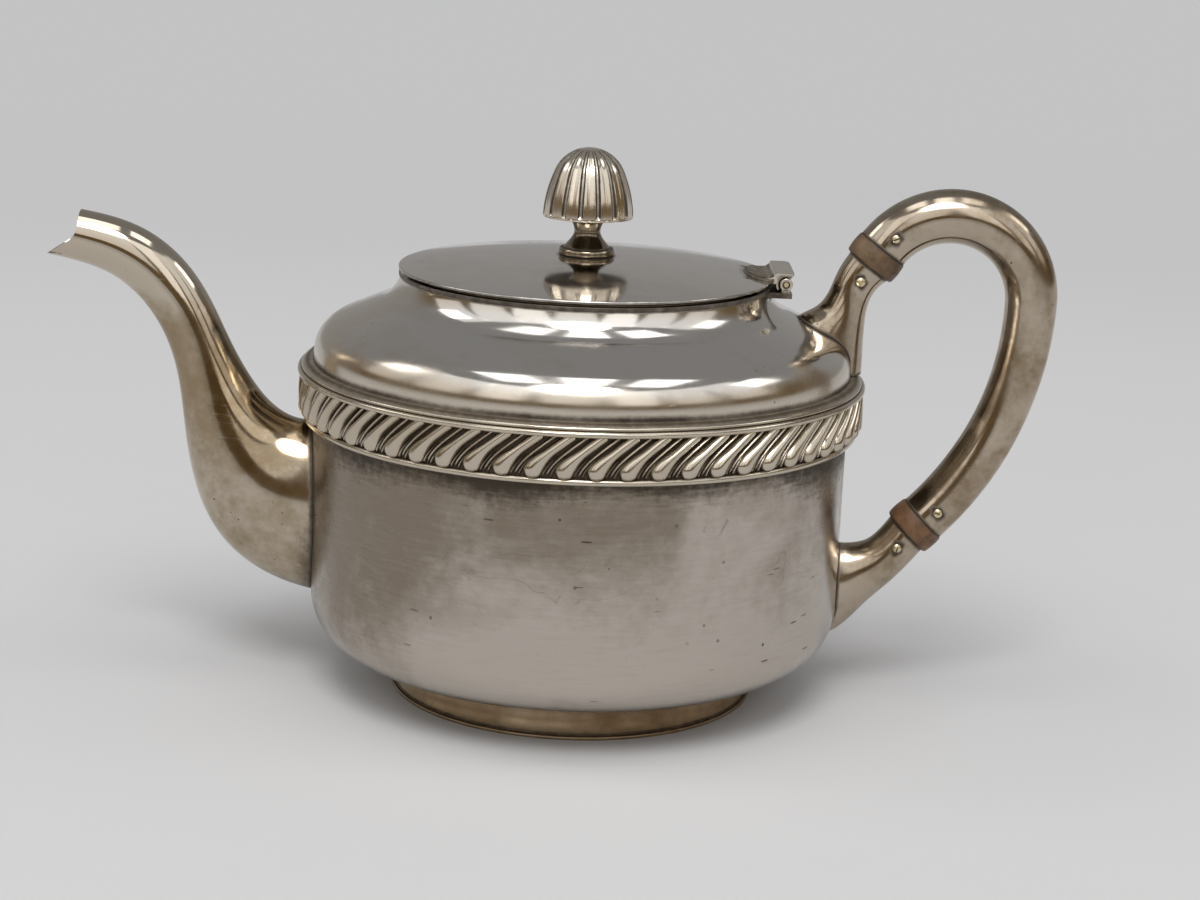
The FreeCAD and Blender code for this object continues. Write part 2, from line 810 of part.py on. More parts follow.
def make_hinge_bracket(pot):
    outer = (dim.hinge_width - dim.centre_knuckle) / 2 - dim.knuckle_gap
    base_left = lid_radius - dim.lid_seat
    base_top = hinge_z - dim.bracket_drop
    base = box(
        "bracket_base", hinge_x + dim.bracket_reach - base_left, dim.hinge_width, dim.bracket_plate,
        (base_left, -(dim.hinge_width / 2), base_top - dim.bracket_plate),
    )
    pieces = [base]
    for side, name in ((-1, "front"), (1, "back")):
        middle = side * (dim.hinge_width - outer) / 2
        pieces.append(
            rod_across(f"{name}_knuckle", dim.knuckle_radius, outer, hinge_x, hinge_z, middle)
        )
        pieces.append(box(
            f"{name}_knuckle_web", dim.bracket_neck * 2, outer, dim.bracket_drop,
            (hinge_x - dim.bracket_neck, middle - outer / 2, base_top),
        ))
    hole = rod_across(
        "bracket_pin_hole", dim.hinge_pin_radius + dim.hinge_pin_fit, dim.hinge_width * 2,
        hinge_x, hinge_z,
    )
    solid = fuse("bracket_solid", pieces)
    seated = cut("bracket_seated", solid, pot)
    return finished(cut("bracket_bored", seated, hole), "hinge_bracket")


def make_hinge_pin():
    length = dim.hinge_width - dim.knuckle_gap * 2
    return finished(
        rod_across("pin_of_hinge", dim.hinge_pin_radius, length, hinge_x, hinge_z), "hinge_pin"
    )


# Flared tubes: the spout and the two handle sockets

def tube_sections(tube, side):
    # x, z, lean, half height and half width of each section, on that side of the pot in X.
    for number in range(1, len(tubes[tube]) + 1):
        out, up, lean, tall, wide = (
            getattr(dim, f"{tube}_{word}_{number}") for word in section_words
        )
        yield side * (dim.drum_radius + out), dim.bowl_rim + up, lean, tall, wide


def halved_circle():
    # A circle of unit radius, halved at the tube's sides so that a tube of such rings doesn't twist.
    circle = Part.Circle(FreeCAD.Vector(), FreeCAD.Vector(0, 0, 1), 1)
    ends = [math.pi * (number + 0.5) for number in range(3)]
    return Part.Wire([Part.ArcOfCircle(circle, *pair).toShape() for pair in zip(ends, ends[1:])])


def lofted(name, sections, side, thinner=0):
    rings = []
    for x, z, lean, tall, wide in sections:
        spot = FreeCAD.Vector(x.value, 0, z.value)
        oval = FreeCAD.Matrix()
        oval.scale((tall - thinner).value, (wide - thinner).value, 1)
        seat = FreeCAD.Placement(spot, FreeCAD.Rotation(across * side, lean.value))
        rings.append(halved_circle().transformGeometry(seat.Matrix.multiply(oval)))
    loft = doc.addObject("Part::Feature", name)
    loft.Shape = Part.makeLoft(rings, True)
    return loft


def make_spout(pot):
    sections = list(tube_sections("spout", -1))
    outside = lofted("spout_outside", sections, -1)
    channel = lofted("spout_channel", sections, -1, dim.wall)
    # Above the lip the mouth is cut upright, and below it the lip runs forward.
    far_x, far_z, far_lean, far_tall, far_wide = sections[-1]
    beyond = far_x - far_tall
    above = far_z + far_tall * 2
    mouth_x = -(dim.drum_radius + dim.mouth_reach)
    mouth = pad_across("spout_mouth", [
        (mouth_x, above),
        (mouth_x, dim.bowl_rim + dim.mouth_step),
        (-(dim.drum_radius + dim.lip_reach), dim.bowl_rim + dim.lip_height),
        (beyond, dim.bowl_rim + dim.lip_height - far_tall),
        (beyond, above),
    ], far_wide * 4)
    tube = cut("spout_tube", outside, channel)
    trimmed = cut("spout_trimmed", tube, pot)
    return finished(cut("spout_open", trimmed, mouth), "spout")


# Handle

grip_x = dim.drum_radius + dim.grip_offset
grip_z = neck_height - dim.grip_drop
side_axis = grip_x + dim.grip_top_bend - dim.grip_side_bend


class GripEnd:
    # One end of the grip: where it is, and the lean of the tube there from upright.
    def __init__(self, name, x, z, lean):
        self.name = name
        self.x = x
        self.z = z
        self.lean = lean

    def at(self, distance):
        # A point on the end's own line, that far into the grip.
        return self.x + distance * sine(self.lean), self.z + distance * cosine(self.lean)


upper_end = GripEnd(
    "upper",
    grip_x + dim.grip_top_bend * cosine(dim.grip_upper_angle),
    grip_z + dim.grip_top_bend * sine(dim.grip_upper_angle),
    180 - dim.grip_upper_angle,
)
lower_end = GripEnd(
    "lower",
    side_axis + dim.grip_side_bend * cosine(dim.grip_lower_angle),
    grip_z - dim.grip_side_bend * sine(dim.grip_lower_angle),
    dim.grip_lower_angle,
)
grip_ends = (upper_end, lower_end)


def pin_distance(piece):
    # How far into the grip a pin lies; the socket's pin is on the far side of the insulator.
    return dim.pin_setback if piece == "grip" else -(dim.insulator_length + dim.pin_setback)


def pin_tube_radius(piece):
    return dim.grip_radius if piece == "grip" else dim.socket_radius


def pin_bore(name, end, piece):
    # The hole for one pin, with the sunk seat of its head on the front side.
    x, z = end.at(pin_distance(piece))
    radius = pin_tube_radius(piece)
    hole = rod_across(f"{name}_hole", dim.pin_radius + dim.pin_fit, radius * 4, x, z)
    seat = rod_across(
        f"{name}_seat", dim.pin_head_radius + dim.pin_fit, radius, x, z,
        -(radius - dim.pin_head_sink + radius / 2),
    )
    return fuse(name, [hole, seat])


def make_grip():
    body = new_body("grip_tube")
    path = sketch_on(body, "grip_path", "XZ_Plane")
    draw(path, [
        (upper_end.x, upper_end.z, dim.grip_top_bend, -1),
        (grip_x + dim.grip_top_bend, grip_z, dim.grip_side_bend, -1),
        (lower_end.x, lower_end.z),
    ], closed=False)
    ring = sketch_on(body, "grip_ring", "XY_Plane")
    turn_sketch(ring, across, upper_end.lean)
    bind(ring, "AttachmentOffset.Base.x", upper_end.x)
    bind(ring, "AttachmentOffset.Base.z", upper_end.z)
    draw_circle(ring, 0, 0, dim.grip_radius)
    draw_circle(ring, 0, 0, dim.grip_radius - dim.wall)
    doc.recompute()
    pipe = body.newObject("PartDesign::AdditivePipe", "grip_pipe")
    pipe.Profile = ring
    pipe.Spine = (path, ["Edge1", "Edge2"])
    holes = [pin_bore(f"{end.name}_grip_bore", end, "grip") for end in grip_ends]
    return finished(cut("grip_drilled", body, fuse("grip_bores", holes)), "handle_grip")


def make_socket(end, clearances):
    sections = list(tube_sections(end.name, 1))
    face_x, face_z = end.at(-dim.insulator_length)
    sections.append((face_x, face_z, end.lean, dim.socket_radius, dim.socket_radius))
    name = f"{end.name}_socket"
    tube = lofted(f"{name}_tube", sections, 1)
    depth = dim.tenon_length + dim.tenon_gap
    bore = cylinder(f"{name}_tenon_bore", dim.tenon_radius + dim.tenon_gap, depth)
    turn(bore, across, end.lean)
    bore_x, bore_z = end.at(-(dim.insulator_length + depth))
    place(bore, bore_x, 0, bore_z)
    holes = fuse(f"{name}_holes", [bore, pin_bore(f"{name}_pin_bore", end, "socket")])
    for number, clearance in enumerate(clearances, 1):
        tube = cut(f"{name}_trimmed_{number}", tube, clearance)
    return finished(cut(f"{name}_bored", tube, holes), f"{end.name}_handle_socket")


def make_insulator(end):
    # A collar with a tenon on each side, made upright and then leaned into the handle's line.
    soft = dim.insulator_round
    top = dim.insulator_length
    body = turned(f"{end.name}_collar", [
        (0, -dim.tenon_length),
        (dim.tenon_radius, -dim.tenon_length),
        (dim.tenon_radius, 0),
        (dim.insulator_radius - soft, 0, soft, 1),
        (dim.insulator_radius, soft),
        (dim.insulator_radius, top - soft, soft, 1),
        (dim.insulator_radius - soft, top),
        (dim.tenon_radius, top),
        (dim.tenon_radius, top + dim.tenon_length),
        (0, top + dim.tenon_length),
    ])
    turn(body, across, end.lean)
    base_x, base_z = end.at(-dim.insulator_length)
    place(body, base_x, 0, base_z)
    holes = []
    for piece in ("grip", "socket"):
        x, z = end.at(pin_distance(piece))
        holes.append(rod_across(
            f"{end.name}_{piece}_tenon_hole", dim.pin_radius + dim.pin_fit,
            dim.insulator_radius * 4, x, z,
        ))
    bored = cut(f"{end.name}_collar_bored", body, fuse(f"{end.name}_tenon_holes", holes))
    return finished(bored, f"{end.name}_insulator")


def make_pin(end, piece):
    # A slotted round-head pin across the tube, its head on the front side.
    x, z = end.at(pin_distance(piece))
    radius = pin_tube_radius(piece)
    seat = radius - dim.pin_head_sink
    head = dim.pin_head_radius
    rise = dim.pin_head_height
    label = f"{end.name}_{piece}_pin"
    body = turned(f"{label}_turned", [
        (0, -seat),
        (dim.pin_radius, -seat),
        (dim.pin_radius, seat),
        (head, seat),
        (head, seat + dim.pin_head_sink / 2, (head * head + rise * rise) / (2 * rise), 1),
        (0, seat + dim.pin_head_sink / 2 + rise),
    ])
    turn(body, along, 90)
    place(body, x, 0, z)
    slot = box(
        f"{label}_slot", head * 2, dim.pin_slot, dim.pin_slot,
        (x - head, -(seat + dim.pin_head_sink / 2 + rise), z - dim.pin_slot / 2),
    )
    return finished(cut(f"{label}_slotted", body, slot), label)


make_bowl()
make_foot()
make_shoulder()
pot_clearance = make_pot_clearance()
make_mouth_ring()
make_border()
make_lid()
make_bezel()
make_stem()
make_dome()
make_finial_fixing()
make_hinge_leaf()
make_hinge_bracket(pot_clearance)
make_hinge_pin()
make_spout(pot_clearance)
make_grip()
border_clearance = cylinder("border_clearance", belt_inside * 2, belt_top + dim.solder_gap)
make_socket(upper_end, [pot_clearance, border_clearance])
make_socket(lower_end, [pot_clearance])
for grip_end in grip_ends:
    make_insulator(grip_end)
    for held in ("grip", "socket"):
        make_pin(grip_end, held)

doc.recompute()
for item in doc.Objects:
    if "Invalid" in item.State or "Error" in item.State:
        raise ValueError(f"{item.Label} failed")
for node in nodes:
    if node.Shape.isNull() or not node.Shape.isValid() or not node.Shape.Solids:
        raise ValueError(f"{node.Label} is not a sound solid")

os.makedirs("parts", exist_ok=True)
for node in nodes:
    node.Shape.exportStep(f"parts/{node.Label}.step")
    print(f"{node.Label}: {len(node.Shape.Solids)} solid, {node.Shape.Volume:.0f} mm3")
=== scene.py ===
import math
import bmesh
import bpy
import numpy
from mathutils import Matrix, Vector
from mathutils.kdtree import KDTree


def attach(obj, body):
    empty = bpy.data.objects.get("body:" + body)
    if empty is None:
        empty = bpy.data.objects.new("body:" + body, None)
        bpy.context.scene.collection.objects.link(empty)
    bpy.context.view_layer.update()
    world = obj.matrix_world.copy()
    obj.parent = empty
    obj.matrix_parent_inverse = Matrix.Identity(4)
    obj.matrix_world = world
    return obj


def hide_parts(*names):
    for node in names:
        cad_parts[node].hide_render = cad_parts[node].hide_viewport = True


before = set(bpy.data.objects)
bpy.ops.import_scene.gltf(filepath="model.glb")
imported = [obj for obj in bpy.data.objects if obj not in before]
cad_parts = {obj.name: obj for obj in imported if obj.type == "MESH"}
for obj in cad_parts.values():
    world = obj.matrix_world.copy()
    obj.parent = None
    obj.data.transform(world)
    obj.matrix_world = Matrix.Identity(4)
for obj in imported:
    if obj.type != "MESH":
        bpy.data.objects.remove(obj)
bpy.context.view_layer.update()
mm = 0.001  # lengths below are in millimetres unless a line says otherwise
print("frame loaded:", len(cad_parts), "nodes")


# small shader helpers

def addNode(tree, kind, inputs=None, **settings):
    node = tree.nodes.new(kind)
    for name, value in settings.items():
        setattr(node, name, value)
    for name, value in (inputs or {}).items():
        if isinstance(value, bpy.types.NodeSocket):
            tree.links.new(value, node.inputs[name])
        else:
            node.inputs[name].default_value = value
    return node


def mathOf(tree, operation, first, second=0.0, clamp=False):
    inputs = {0: first, 1: second}
    return addNode(tree, "ShaderNodeMath", inputs, operation=operation, use_clamp=clamp).outputs[0]


def plusOf(tree, first, second, clamp=False):
    return mathOf(tree, "ADD", first, second, clamp)


def timesOf(tree, first, second):
    return mathOf(tree, "MULTIPLY", first, second)


def swingOf(tree, noise, amount):
    # noise about its middle value, times an amount
    middle = 0.5
    return timesOf(tree, mathOf(tree, "SUBTRACT", noise, middle), amount)


def rangeOf(tree, value, low, high, toLow=0.0, toHigh=1.0):
    # smooth step from low to high
    inputs = {"Value": value, "From Min": low, "From Max": high, "To Min": toLow, "To Max": toHigh}
    return addNode(tree, "ShaderNodeMapRange", inputs, interpolation_type="SMOOTHSTEP").outputs[0]


def blendOf(tree, share, first, second):
    # the numbers are the colour sockets of a Mix node
    return addNode(tree, "ShaderNodeMix", {0: share, 6: first, 7: second}, data_type="RGBA").outputs[2]


def noiseOf(tree, place, scale, detail=4.0, rough=0.55, twist=0.0):
    inputs = {"Vector": place, "Scale": scale, "Detail": detail, "Roughness": rough, "Distortion": twist}
    return addNode(tree, "ShaderNodeTexNoise", inputs).outputs["Fac"]


def patchesOf(tree, place, scale, detail, low, high):
    return rangeOf(tree, noiseOf(tree, place, scale, detail), low, high)


def stretched(tree, place, scale=(1.0, 1.0, 1.0), turn=(0.0, 0.0, 0.0)):
    return addNode(tree, "ShaderNodeMapping", {"Vector": place, "Scale": scale, "Rotation": turn}).outputs[0]


def newGroup(name, inputs, outputs):
    # a shader node group with float inputs (name: default) and float outputs
    group = bpy.data.node_groups.new(name, "ShaderNodeTree")
    for label, value in inputs.items():
        socket = group.interface.new_socket(label, in_out="INPUT", socket_type="NodeSocketFloat")
        socket.default_value = value
    for label in outputs:
        group.interface.new_socket(label, in_out="OUTPUT", socket_type="NodeSocketFloat")
    return group, group.nodes.new("NodeGroupInput").outputs, group.nodes.new("NodeGroupOutput").inputs


def objectPlace(tree):
    return tree.nodes.new("ShaderNodeTexCoord").outputs["Object"]


def attributeOf(tree, name):
    return addNode(tree, "ShaderNodeAttribute", attribute_name=name).outputs["Fac"]


def placeGroup(tree, group, **inputs):
    return addNode(tree, "ShaderNodeGroup", inputs, node_tree=group).outputs


# effects that several finishes share

def makeTarnishGroup():
    # cloudy yellow-brown film, broken up at two sizes; the mesh's film attribute makes it thicker or thinner,
    # and on the drum, shoulder and spout it also paints shade and reflections in the film's colour
    asks = {"Size": 28.0, "Low": 0.45, "High": 0.7, "Break": 0.35}
    group, asked, given = newGroup("tarnishFilm", asks, ["Film"])
    place = objectPlace(group)
    finer = 9.0
    broad = noiseOf(group, place, asked["Size"], detail=5.0, rough=0.6, twist=0.4)
    fine = noiseOf(group, place, timesOf(group, asked["Size"], finer), detail=6.0, rough=0.65)
    broken = plusOf(group, broad, swingOf(group, fine, asked["Break"]))
    clouds = plusOf(group, broken, attributeOf(group, "hazeAndPaintedLight"))
    group.links.new(rangeOf(group, clouds, asked["Low"], asked["High"]), given["Film"])
    return group


scratchRuns = [  # how each set of lines is turned, and its stretch along and across them
    ((0.2, 0.3, 0.1), 14.0, 1500.0), ((0.5, -0.4, 0.9), 20.0, 1900.0), ((-0.3, 1.1, -0.6), 16.0, 1300.0),
]


def makeScratchGroup():
    # thin rubbed lines in three directions, each gated so that they come in patches
    group, asked, given = newGroup("rubScratches", {"Size": 1.0, "Amount": 0.5}, ["Lines"])
    place = objectPlace(group)
    total = None
    for turn, along, across in scratchRuns:
        drawn = stretched(group, place, (along, across, across), turn)
        lines = noiseOf(group, drawn, asked["Size"], detail=1.0, rough=0.5)
        thin = rangeOf(group, lines, low=0.66, high=0.78)
        turned = stretched(group, place, turn=turn)
        patch = patchesOf(group, turned, scale=45.0, detail=2.0, low=0.5, high=0.66)
        layer = timesOf(group, thin, patch)
        total = layer if total is None else mathOf(group, "MAXIMUM", total, layer)
    group.links.new(timesOf(group, total, asked["Amount"]), given["Lines"])
    return group


def makePitGroup():
    # scattered dark specks and shallow pits; Long draws them out sideways into short dashes
    asks = {"Size": 260.0, "Reach": 0.16, "Share": 0.3, "Long": 1.0}
    group, asked, given = newGroup("pitSpecks", asks, ["Specks"])
    place = objectPlace(group)
    shrink = mathOf(group, "DIVIDE", 1.0, asked["Long"])
    factor = addNode(group, "ShaderNodeCombineXYZ", {"X": shrink, "Y": shrink, "Z": 1.0}).outputs[0]
    drawn = addNode(group, "ShaderNodeVectorMath", {0: place, 1: factor}, operation="MULTIPLY").outputs[0]
    scattered = {"Vector": drawn, "Scale": asked["Size"], "Randomness": 1.0}
    cells = addNode(group, "ShaderNodeTexVoronoi", scattered)
    spot = mathOf(group, "LESS_THAN", cells.outputs["Distance"], asked["Reach"])
    draw = addNode(group, "ShaderNodeSeparateColor", {0: cells.outputs["Color"]}).outputs[0]
    chosen = mathOf(group, "LESS_THAN", draw, asked["Share"])
    patch = patchesOf(group, place, scale=24.0, detail=3.0, low=0.48, high=0.62)
    group.links.new(timesOf(group, timesOf(group, spot, chosen), patch), given["Specks"])
    return group


def makeHairGroup():
    # a few thin wandering scratches that hold dirt
    group, asked, given = newGroup("hairMarks", {"Size": 55.0, "Thin": 0.006, "Rare": 0.6}, ["Hairs"])
    place = objectPlace(group)
    middle, edge = 0.5, 0.06
    swirl = noiseOf(group, place, asked["Size"], detail=3.0, rough=0.5, twist=1.2)
    away = mathOf(group, "ABSOLUTE", mathOf(group, "SUBTRACT", swirl, middle))
    line = mathOf(group, "SUBTRACT", 1.0, mathOf(group, "DIVIDE", away, asked["Thin"]), clamp=True)
    gate = noiseOf(group, stretched(group, place, turn=(0.4, 0.9, 0.2)), scale=34.0, detail=3.0)
    shown = rangeOf(group, gate, asked["Rare"], plusOf(group, asked["Rare"], edge))
    group.links.new(timesOf(group, line, shown), given["Hairs"])
    return group


def makeWipeGroup():
    # short wiping marks that run round the pot
    group, asked, given = newGroup("wipeStreaks", {"Around": 7.0, "Upright": 1100.0}, ["Streaks"])
    x, y, z = addNode(group, "ShaderNodeSeparateXYZ", {0: objectPlace(group)}).outputs
    turn = timesOf(group, mathOf(group, "ARCTAN2", y, x), asked["Around"])
    high = timesOf(group, z, asked["Upright"])
    unrolled = addNode(group, "ShaderNodeCombineXYZ", {"X": turn, "Y": 0.0, "Z": high}).outputs[0]
    group.links.new(noiseOf(group, unrolled, scale=1.0, detail=5.0, rough=0.6, twist=0.3), given["Streaks"])
    return group


def makeSoilGroup():
    # dirt left in corners and along seams, and painted shadow, shade and reflection where a piece's soil
    # holds them: the mesh says where, noise frays its edge
    group, asked, given = newGroup("cornerSoil", {"Fray": 0.5, "Size": 420.0, "Wiped": 0.0}, ["Soil"])
    where = attributeOf(group, "soil")
    least, full = 0.12, 0.85
    grain = noiseOf(group, objectPlace(group), asked["Size"], detail=4.0, rough=0.65)
    streaks = placeGroup(group, wipeStreaks)["Streaks"]
    frayed = plusOf(group, swingOf(group, grain, asked["Fray"]), swingOf(group, streaks, asked["Wiped"]))
    present = rangeOf(group, where, 0.0, least)
    loose = plusOf(group, where, timesOf(group, frayed, present))
    group.links.new(rangeOf(group, loose, least, full), given["Soil"])
    return group


def makeSheetGroup():
    # unevenness of hand-finished sheet: slow swells and a little planishing
    group, asked, given = newGroup("sheetSwell", {"Size": 26.0, "Planish": 0.25}, ["Height"])
    place = objectPlace(group)
    finer = 5.0
    slow = noiseOf(group, place, asked["Size"], detail=1.0, rough=0.4)
    small = noiseOf(group, place, timesOf(group, asked["Size"], finer), detail=2.0, rough=0.5)
    group.links.new(plusOf(group, slow, timesOf(group, small, asked["Planish"])), given["Height"])
    return group


tarnishFilm = makeTarnishGroup()
rubScratches = makeScratchGroup()
pitSpecks = makePitGroup()
hairMarks = makeHairGroup()
wipeStreaks = makeWipeGroup()
cornerSoil = makeSoilGroup()
sheetSwell = makeSheetGroup()
print("shared effects made")


# finishes

def newFinish(name):
    finish = bpy.data.materials.new(name)
    finish.use_nodes = True
    tree = finish.node_tree
    return finish, tree, tree.nodes["Principled BSDF"]


silverLook = {  # bump distances in metres
    # dirt also paints the shadow under the border, the dark reflection on the hinge's tongue and the shade in
    # the hood's hollow; film also paints reflections and shade on the drum, shoulder and spout
    "clean": (0.70, 0.655, 0.60, 1.0), "film": (0.50, 0.42, 0.31, 1.0), "dirt": (0.055, 0.042, 0.028, 1.0),
    "rough": 0.15, "filmRough": 0.1, "scratchRough": 0.16, "soilRough": 0.3, "soilMetal": 0.45,
    "filmSize": 28.0, "filmLow": 0.48, "filmHigh": 0.74, "filmShare": 0.55, "filmBreak": 0.35,
    "scratch": 0.5, "pitSize": 420.0, "pitShare": 0.2, "pitReach": 0.13, "pitDark": 0.8, "pitDeep": 2.0,
    "swell": 0.00012, "swellSize": 26.0, "smudge": 0.1, "smudgeSize": 60.0, "dent": 0.00001, "dentShare": 0.6,
    "fray": 0.5, "wiped": 0.0,  # a wiped finish also gets hairs and dashes
    "hair": 0.0, "dashShare": 0.0, "dashSize": 420.0, "dashReach": 0.1, "dashLong": 6.0,
}


def makeSilver(name, **changes):
    look = {**silverLook, **changes}
    finish, tree, shader = newFinish(name)
    film = placeGroup(tree, tarnishFilm, Size=look["filmSize"], Low=look["filmLow"], High=look["filmHigh"],
                      Break=look["filmBreak"])["Film"]
    lines = placeGroup(tree, rubScratches, Amount=look["scratch"])["Lines"]
    specks = placeGroup(tree, pitSpecks, Size=look["pitSize"], Share=look["pitShare"],
                        Reach=look["pitReach"])["Specks"]
    soil = placeGroup(tree, cornerSoil, Fray=look["fray"], Wiped=look["wiped"])["Soil"]
    height = placeGroup(tree, sheetSwell, Size=look["swellSize"])["Height"]
    if look["wiped"]:
        streaks = placeGroup(tree, wipeStreaks)["Streaks"]
        film = plusOf(tree, film, swingOf(tree, streaks, look["wiped"]), clamp=True)
        hairs = timesOf(tree, placeGroup(tree, hairMarks)["Hairs"], look["hair"])
        dashes = placeGroup(tree, pitSpecks, Size=look["dashSize"], Share=look["dashShare"],
                            Reach=look["dashReach"], Long=look["dashLong"])["Specks"]
        specks = mathOf(tree, "MAXIMUM", specks, mathOf(tree, "MAXIMUM", hairs, dashes))
    # the film share carries tarnish and painted reflections and shade; the soil carries dirt and painted
    # shadow, shade and reflection
    dulled = blendOf(tree, timesOf(tree, film, look["filmShare"]), look["clean"], look["film"])
    dark = mathOf(tree, "MAXIMUM", soil, timesOf(tree, specks, look["pitDark"]))
    smear = noiseOf(tree, objectPlace(tree), look["smudgeSize"], detail=5.0, rough=0.6, twist=0.6)
    smudge = rangeOf(tree, smear, low=0.35, high=0.7, toHigh=look["smudge"])
    scuffed = plusOf(tree, smudge, timesOf(tree, lines, look["scratchRough"]))
    rough = plusOf(tree, look["rough"], timesOf(tree, film, look["filmRough"]))
    rough = plusOf(tree, plusOf(tree, rough, scuffed), timesOf(tree, soil, look["soilRough"]), clamp=True)
    swell = addNode(tree, "ShaderNodeBump", {"Height": height, "Distance": look["swell"], "Strength": 1.0})
    worn = plusOf(tree, lines, timesOf(tree, specks, look["pitDeep"]))
    dent = addNode(tree, "ShaderNodeBump", {
        "Height": worn, "Distance": look["dent"], "Strength": look["dentShare"], "Normal": swell.outputs[0],
    }, invert=True)
    metal = rangeOf(tree, soil, low=0.2, high=1.0, toLow=1.0, toHigh=look["soilMetal"])
    tree.links.new(blendOf(tree, dark, dulled, look["dirt"]), shader.inputs["Base Color"])
    tree.links.new(rough, shader.inputs["Roughness"])
    tree.links.new(metal, shader.inputs["Metallic"])
    tree.links.new(dent.outputs[0], shader.inputs["Normal"])
    return finish


fibreLook = {
    "streak": (420.0, 90.0, 420.0), "streakTurn": (0.0, 0.7, 0.0), "streakShare": 0.6, "blotch": 160.0,
    "mottleLow": 0.32, "mottleHigh": 0.66, "roughDark": 0.62, "roughPale": 0.4,
    "dirt": (0.03, 0.02, 0.012, 1.0), "fray": 0.3, "nickSize": 700.0, "nickShare": 0.5, "nickReach": 0.2,
    "grain": 0.00012, "grainShare": 0.7,
}


def makeFibre(name, pale, dark):
    # pressed fibre: streaks, blotches and small nicks, with dirt where it meets the tubes
    look = fibreLook
    finish, tree, shader = newFinish(name)
    place = objectPlace(tree)
    drawn = stretched(tree, place, look["streak"], look["streakTurn"])
    streak = noiseOf(tree, drawn, scale=1.0, detail=6.0, rough=0.6)
    blotch = noiseOf(tree, place, look["blotch"], detail=4.0, rough=0.6)
    streakPart = timesOf(tree, streak, look["streakShare"])
    blotchPart = timesOf(tree, blotch, 1 - look["streakShare"])
    mottled = rangeOf(tree, plusOf(tree, streakPart, blotchPart), look["mottleLow"], look["mottleHigh"])
    soil = placeGroup(tree, cornerSoil, Fray=look["fray"])["Soil"]
    colour = blendOf(tree, soil, blendOf(tree, mottled, dark, pale), look["dirt"])
    nick = placeGroup(tree, pitSpecks, Size=look["nickSize"], Share=look["nickShare"],
                      Reach=look["nickReach"])["Specks"]
    grain = mathOf(tree, "SUBTRACT", streak, nick)
    bump = addNode(tree, "ShaderNodeBump", {
        "Height": grain, "Distance": look["grain"], "Strength": look["grainShare"]})
    rough = rangeOf(tree, mottled, 0.0, 1.0, look["roughDark"], look["roughPale"])
    tree.links.new(colour, shader.inputs["Base Color"])
    tree.links.new(rough, shader.inputs["Roughness"])
    tree.links.new(bump.outputs[0], shader.inputs["Normal"])
    return finish


# the drum's dark warm colours are patina and also a painted darker reflection of the surroundings
bodySilver = makeSilver(
    "satinDrumSilver", rough=0.13, filmRough=0.1, smudge=0.12, filmSize=26.0, filmLow=0.34, filmHigh=0.84,
    filmShare=0.95, filmBreak=0.3, clean=(0.52, 0.47, 0.415, 1.0), film=(0.25, 0.207, 0.16, 1.0), scratch=0.9,
    pitSize=250.0, pitReach=0.115, pitShare=0.24, wiped=0.55, hair=0.5, dashShare=0.6, fray=0.8)
# the film colour also paints the brown reflection low on the roll and towards the spout
shoulderSilver = makeSilver(
    "shoulderSilver", rough=0.085, smudge=0.07, filmSize=32.0, filmLow=0.36, filmHigh=0.8, filmShare=0.55,
    clean=(0.67, 0.637, 0.59, 1.0), film=(0.54, 0.455, 0.335, 1.0))
lidSilver = makeSilver(
    "lidSilver", rough=0.065, smudge=0.06, filmSize=36.0, filmLow=0.36, filmHigh=0.85, filmShare=0.5,
    swell=0.00003, pitShare=0.08, clean=(0.72, 0.68, 0.63, 1.0), film=(0.53, 0.48, 0.42, 1.0))
# the film colour also paints the shade on the neck's bend
spoutSilver = makeSilver(
    "spoutSilver", rough=0.075, filmRough=0.02, smudge=0.05, filmShare=0.9, clean=(0.54, 0.475, 0.385, 1.0),
    film=(0.29, 0.217, 0.13, 1.0), filmLow=0.42)
# the grip's dark brown colours are tarnish and also a painted darker reflection of the room
handleSilver = makeSilver(
    "handleSilver", rough=0.09, smudge=0.07, filmShare=0.95, filmSize=40.0, filmLow=0.4, filmHigh=0.74,
    clean=(0.47, 0.40, 0.315, 1.0), film=(0.25, 0.182, 0.11, 1.0))
castSilver = makeSilver(
    "castBorderSilver", rough=0.14, filmShare=0.5, swell=0.00002, scratch=0.2, pitShare=0.1,
    clean=(0.56, 0.50, 0.41, 1.0), dirt=(0.07, 0.05, 0.03, 1.0))
knobSilver = makeSilver(
    "knobSilver", rough=0.13, filmShare=0.5, swell=0.00002, filmSize=70.0, pitShare=0.1,
    clean=(0.68, 0.61, 0.51, 1.0))
# the stem's near-black colours are heavy tarnish and also a painted dark reflection of the room in front
stemSilver = makeSilver(
    "stemSilver", rough=0.09, filmShare=0.9, swell=0.00002, filmSize=90.0, clean=(0.27, 0.225, 0.165, 1.0),
    film=(0.14, 0.108, 0.07, 1.0))
footSilver = makeSilver(
    "footSilver", rough=0.32, filmShare=0.95, filmLow=0.3, filmHigh=0.65, clean=(0.41, 0.315, 0.21, 1.0),
    film=(0.265, 0.18, 0.098, 1.0), smudge=0.16, wiped=0.5)
hingeSilver = makeSilver(
    "hingeSilver", rough=0.15, filmShare=0.7, filmSize=90.0, swell=0.00002, clean=(0.64, 0.58, 0.48, 1.0),
    film=(0.42, 0.33, 0.21, 1.0))
pinBrass = makeSilver(
    "pinBrass", clean=(0.74, 0.62, 0.40, 1.0), film=(0.42, 0.32, 0.17, 1.0), rough=0.22, filmSize=220.0,
    swell=0.00001)
upperFibre = makeFibre("upperFibre", (0.145, 0.088, 0.043, 1.0), (0.066, 0.039, 0.02, 1.0))
lowerFibre = makeFibre("lowerFibre", (0.185, 0.094, 0.042, 1.0), (0.085, 0.043, 0.02, 1.0))
print("finishes made:", len(bpy.data.materials))


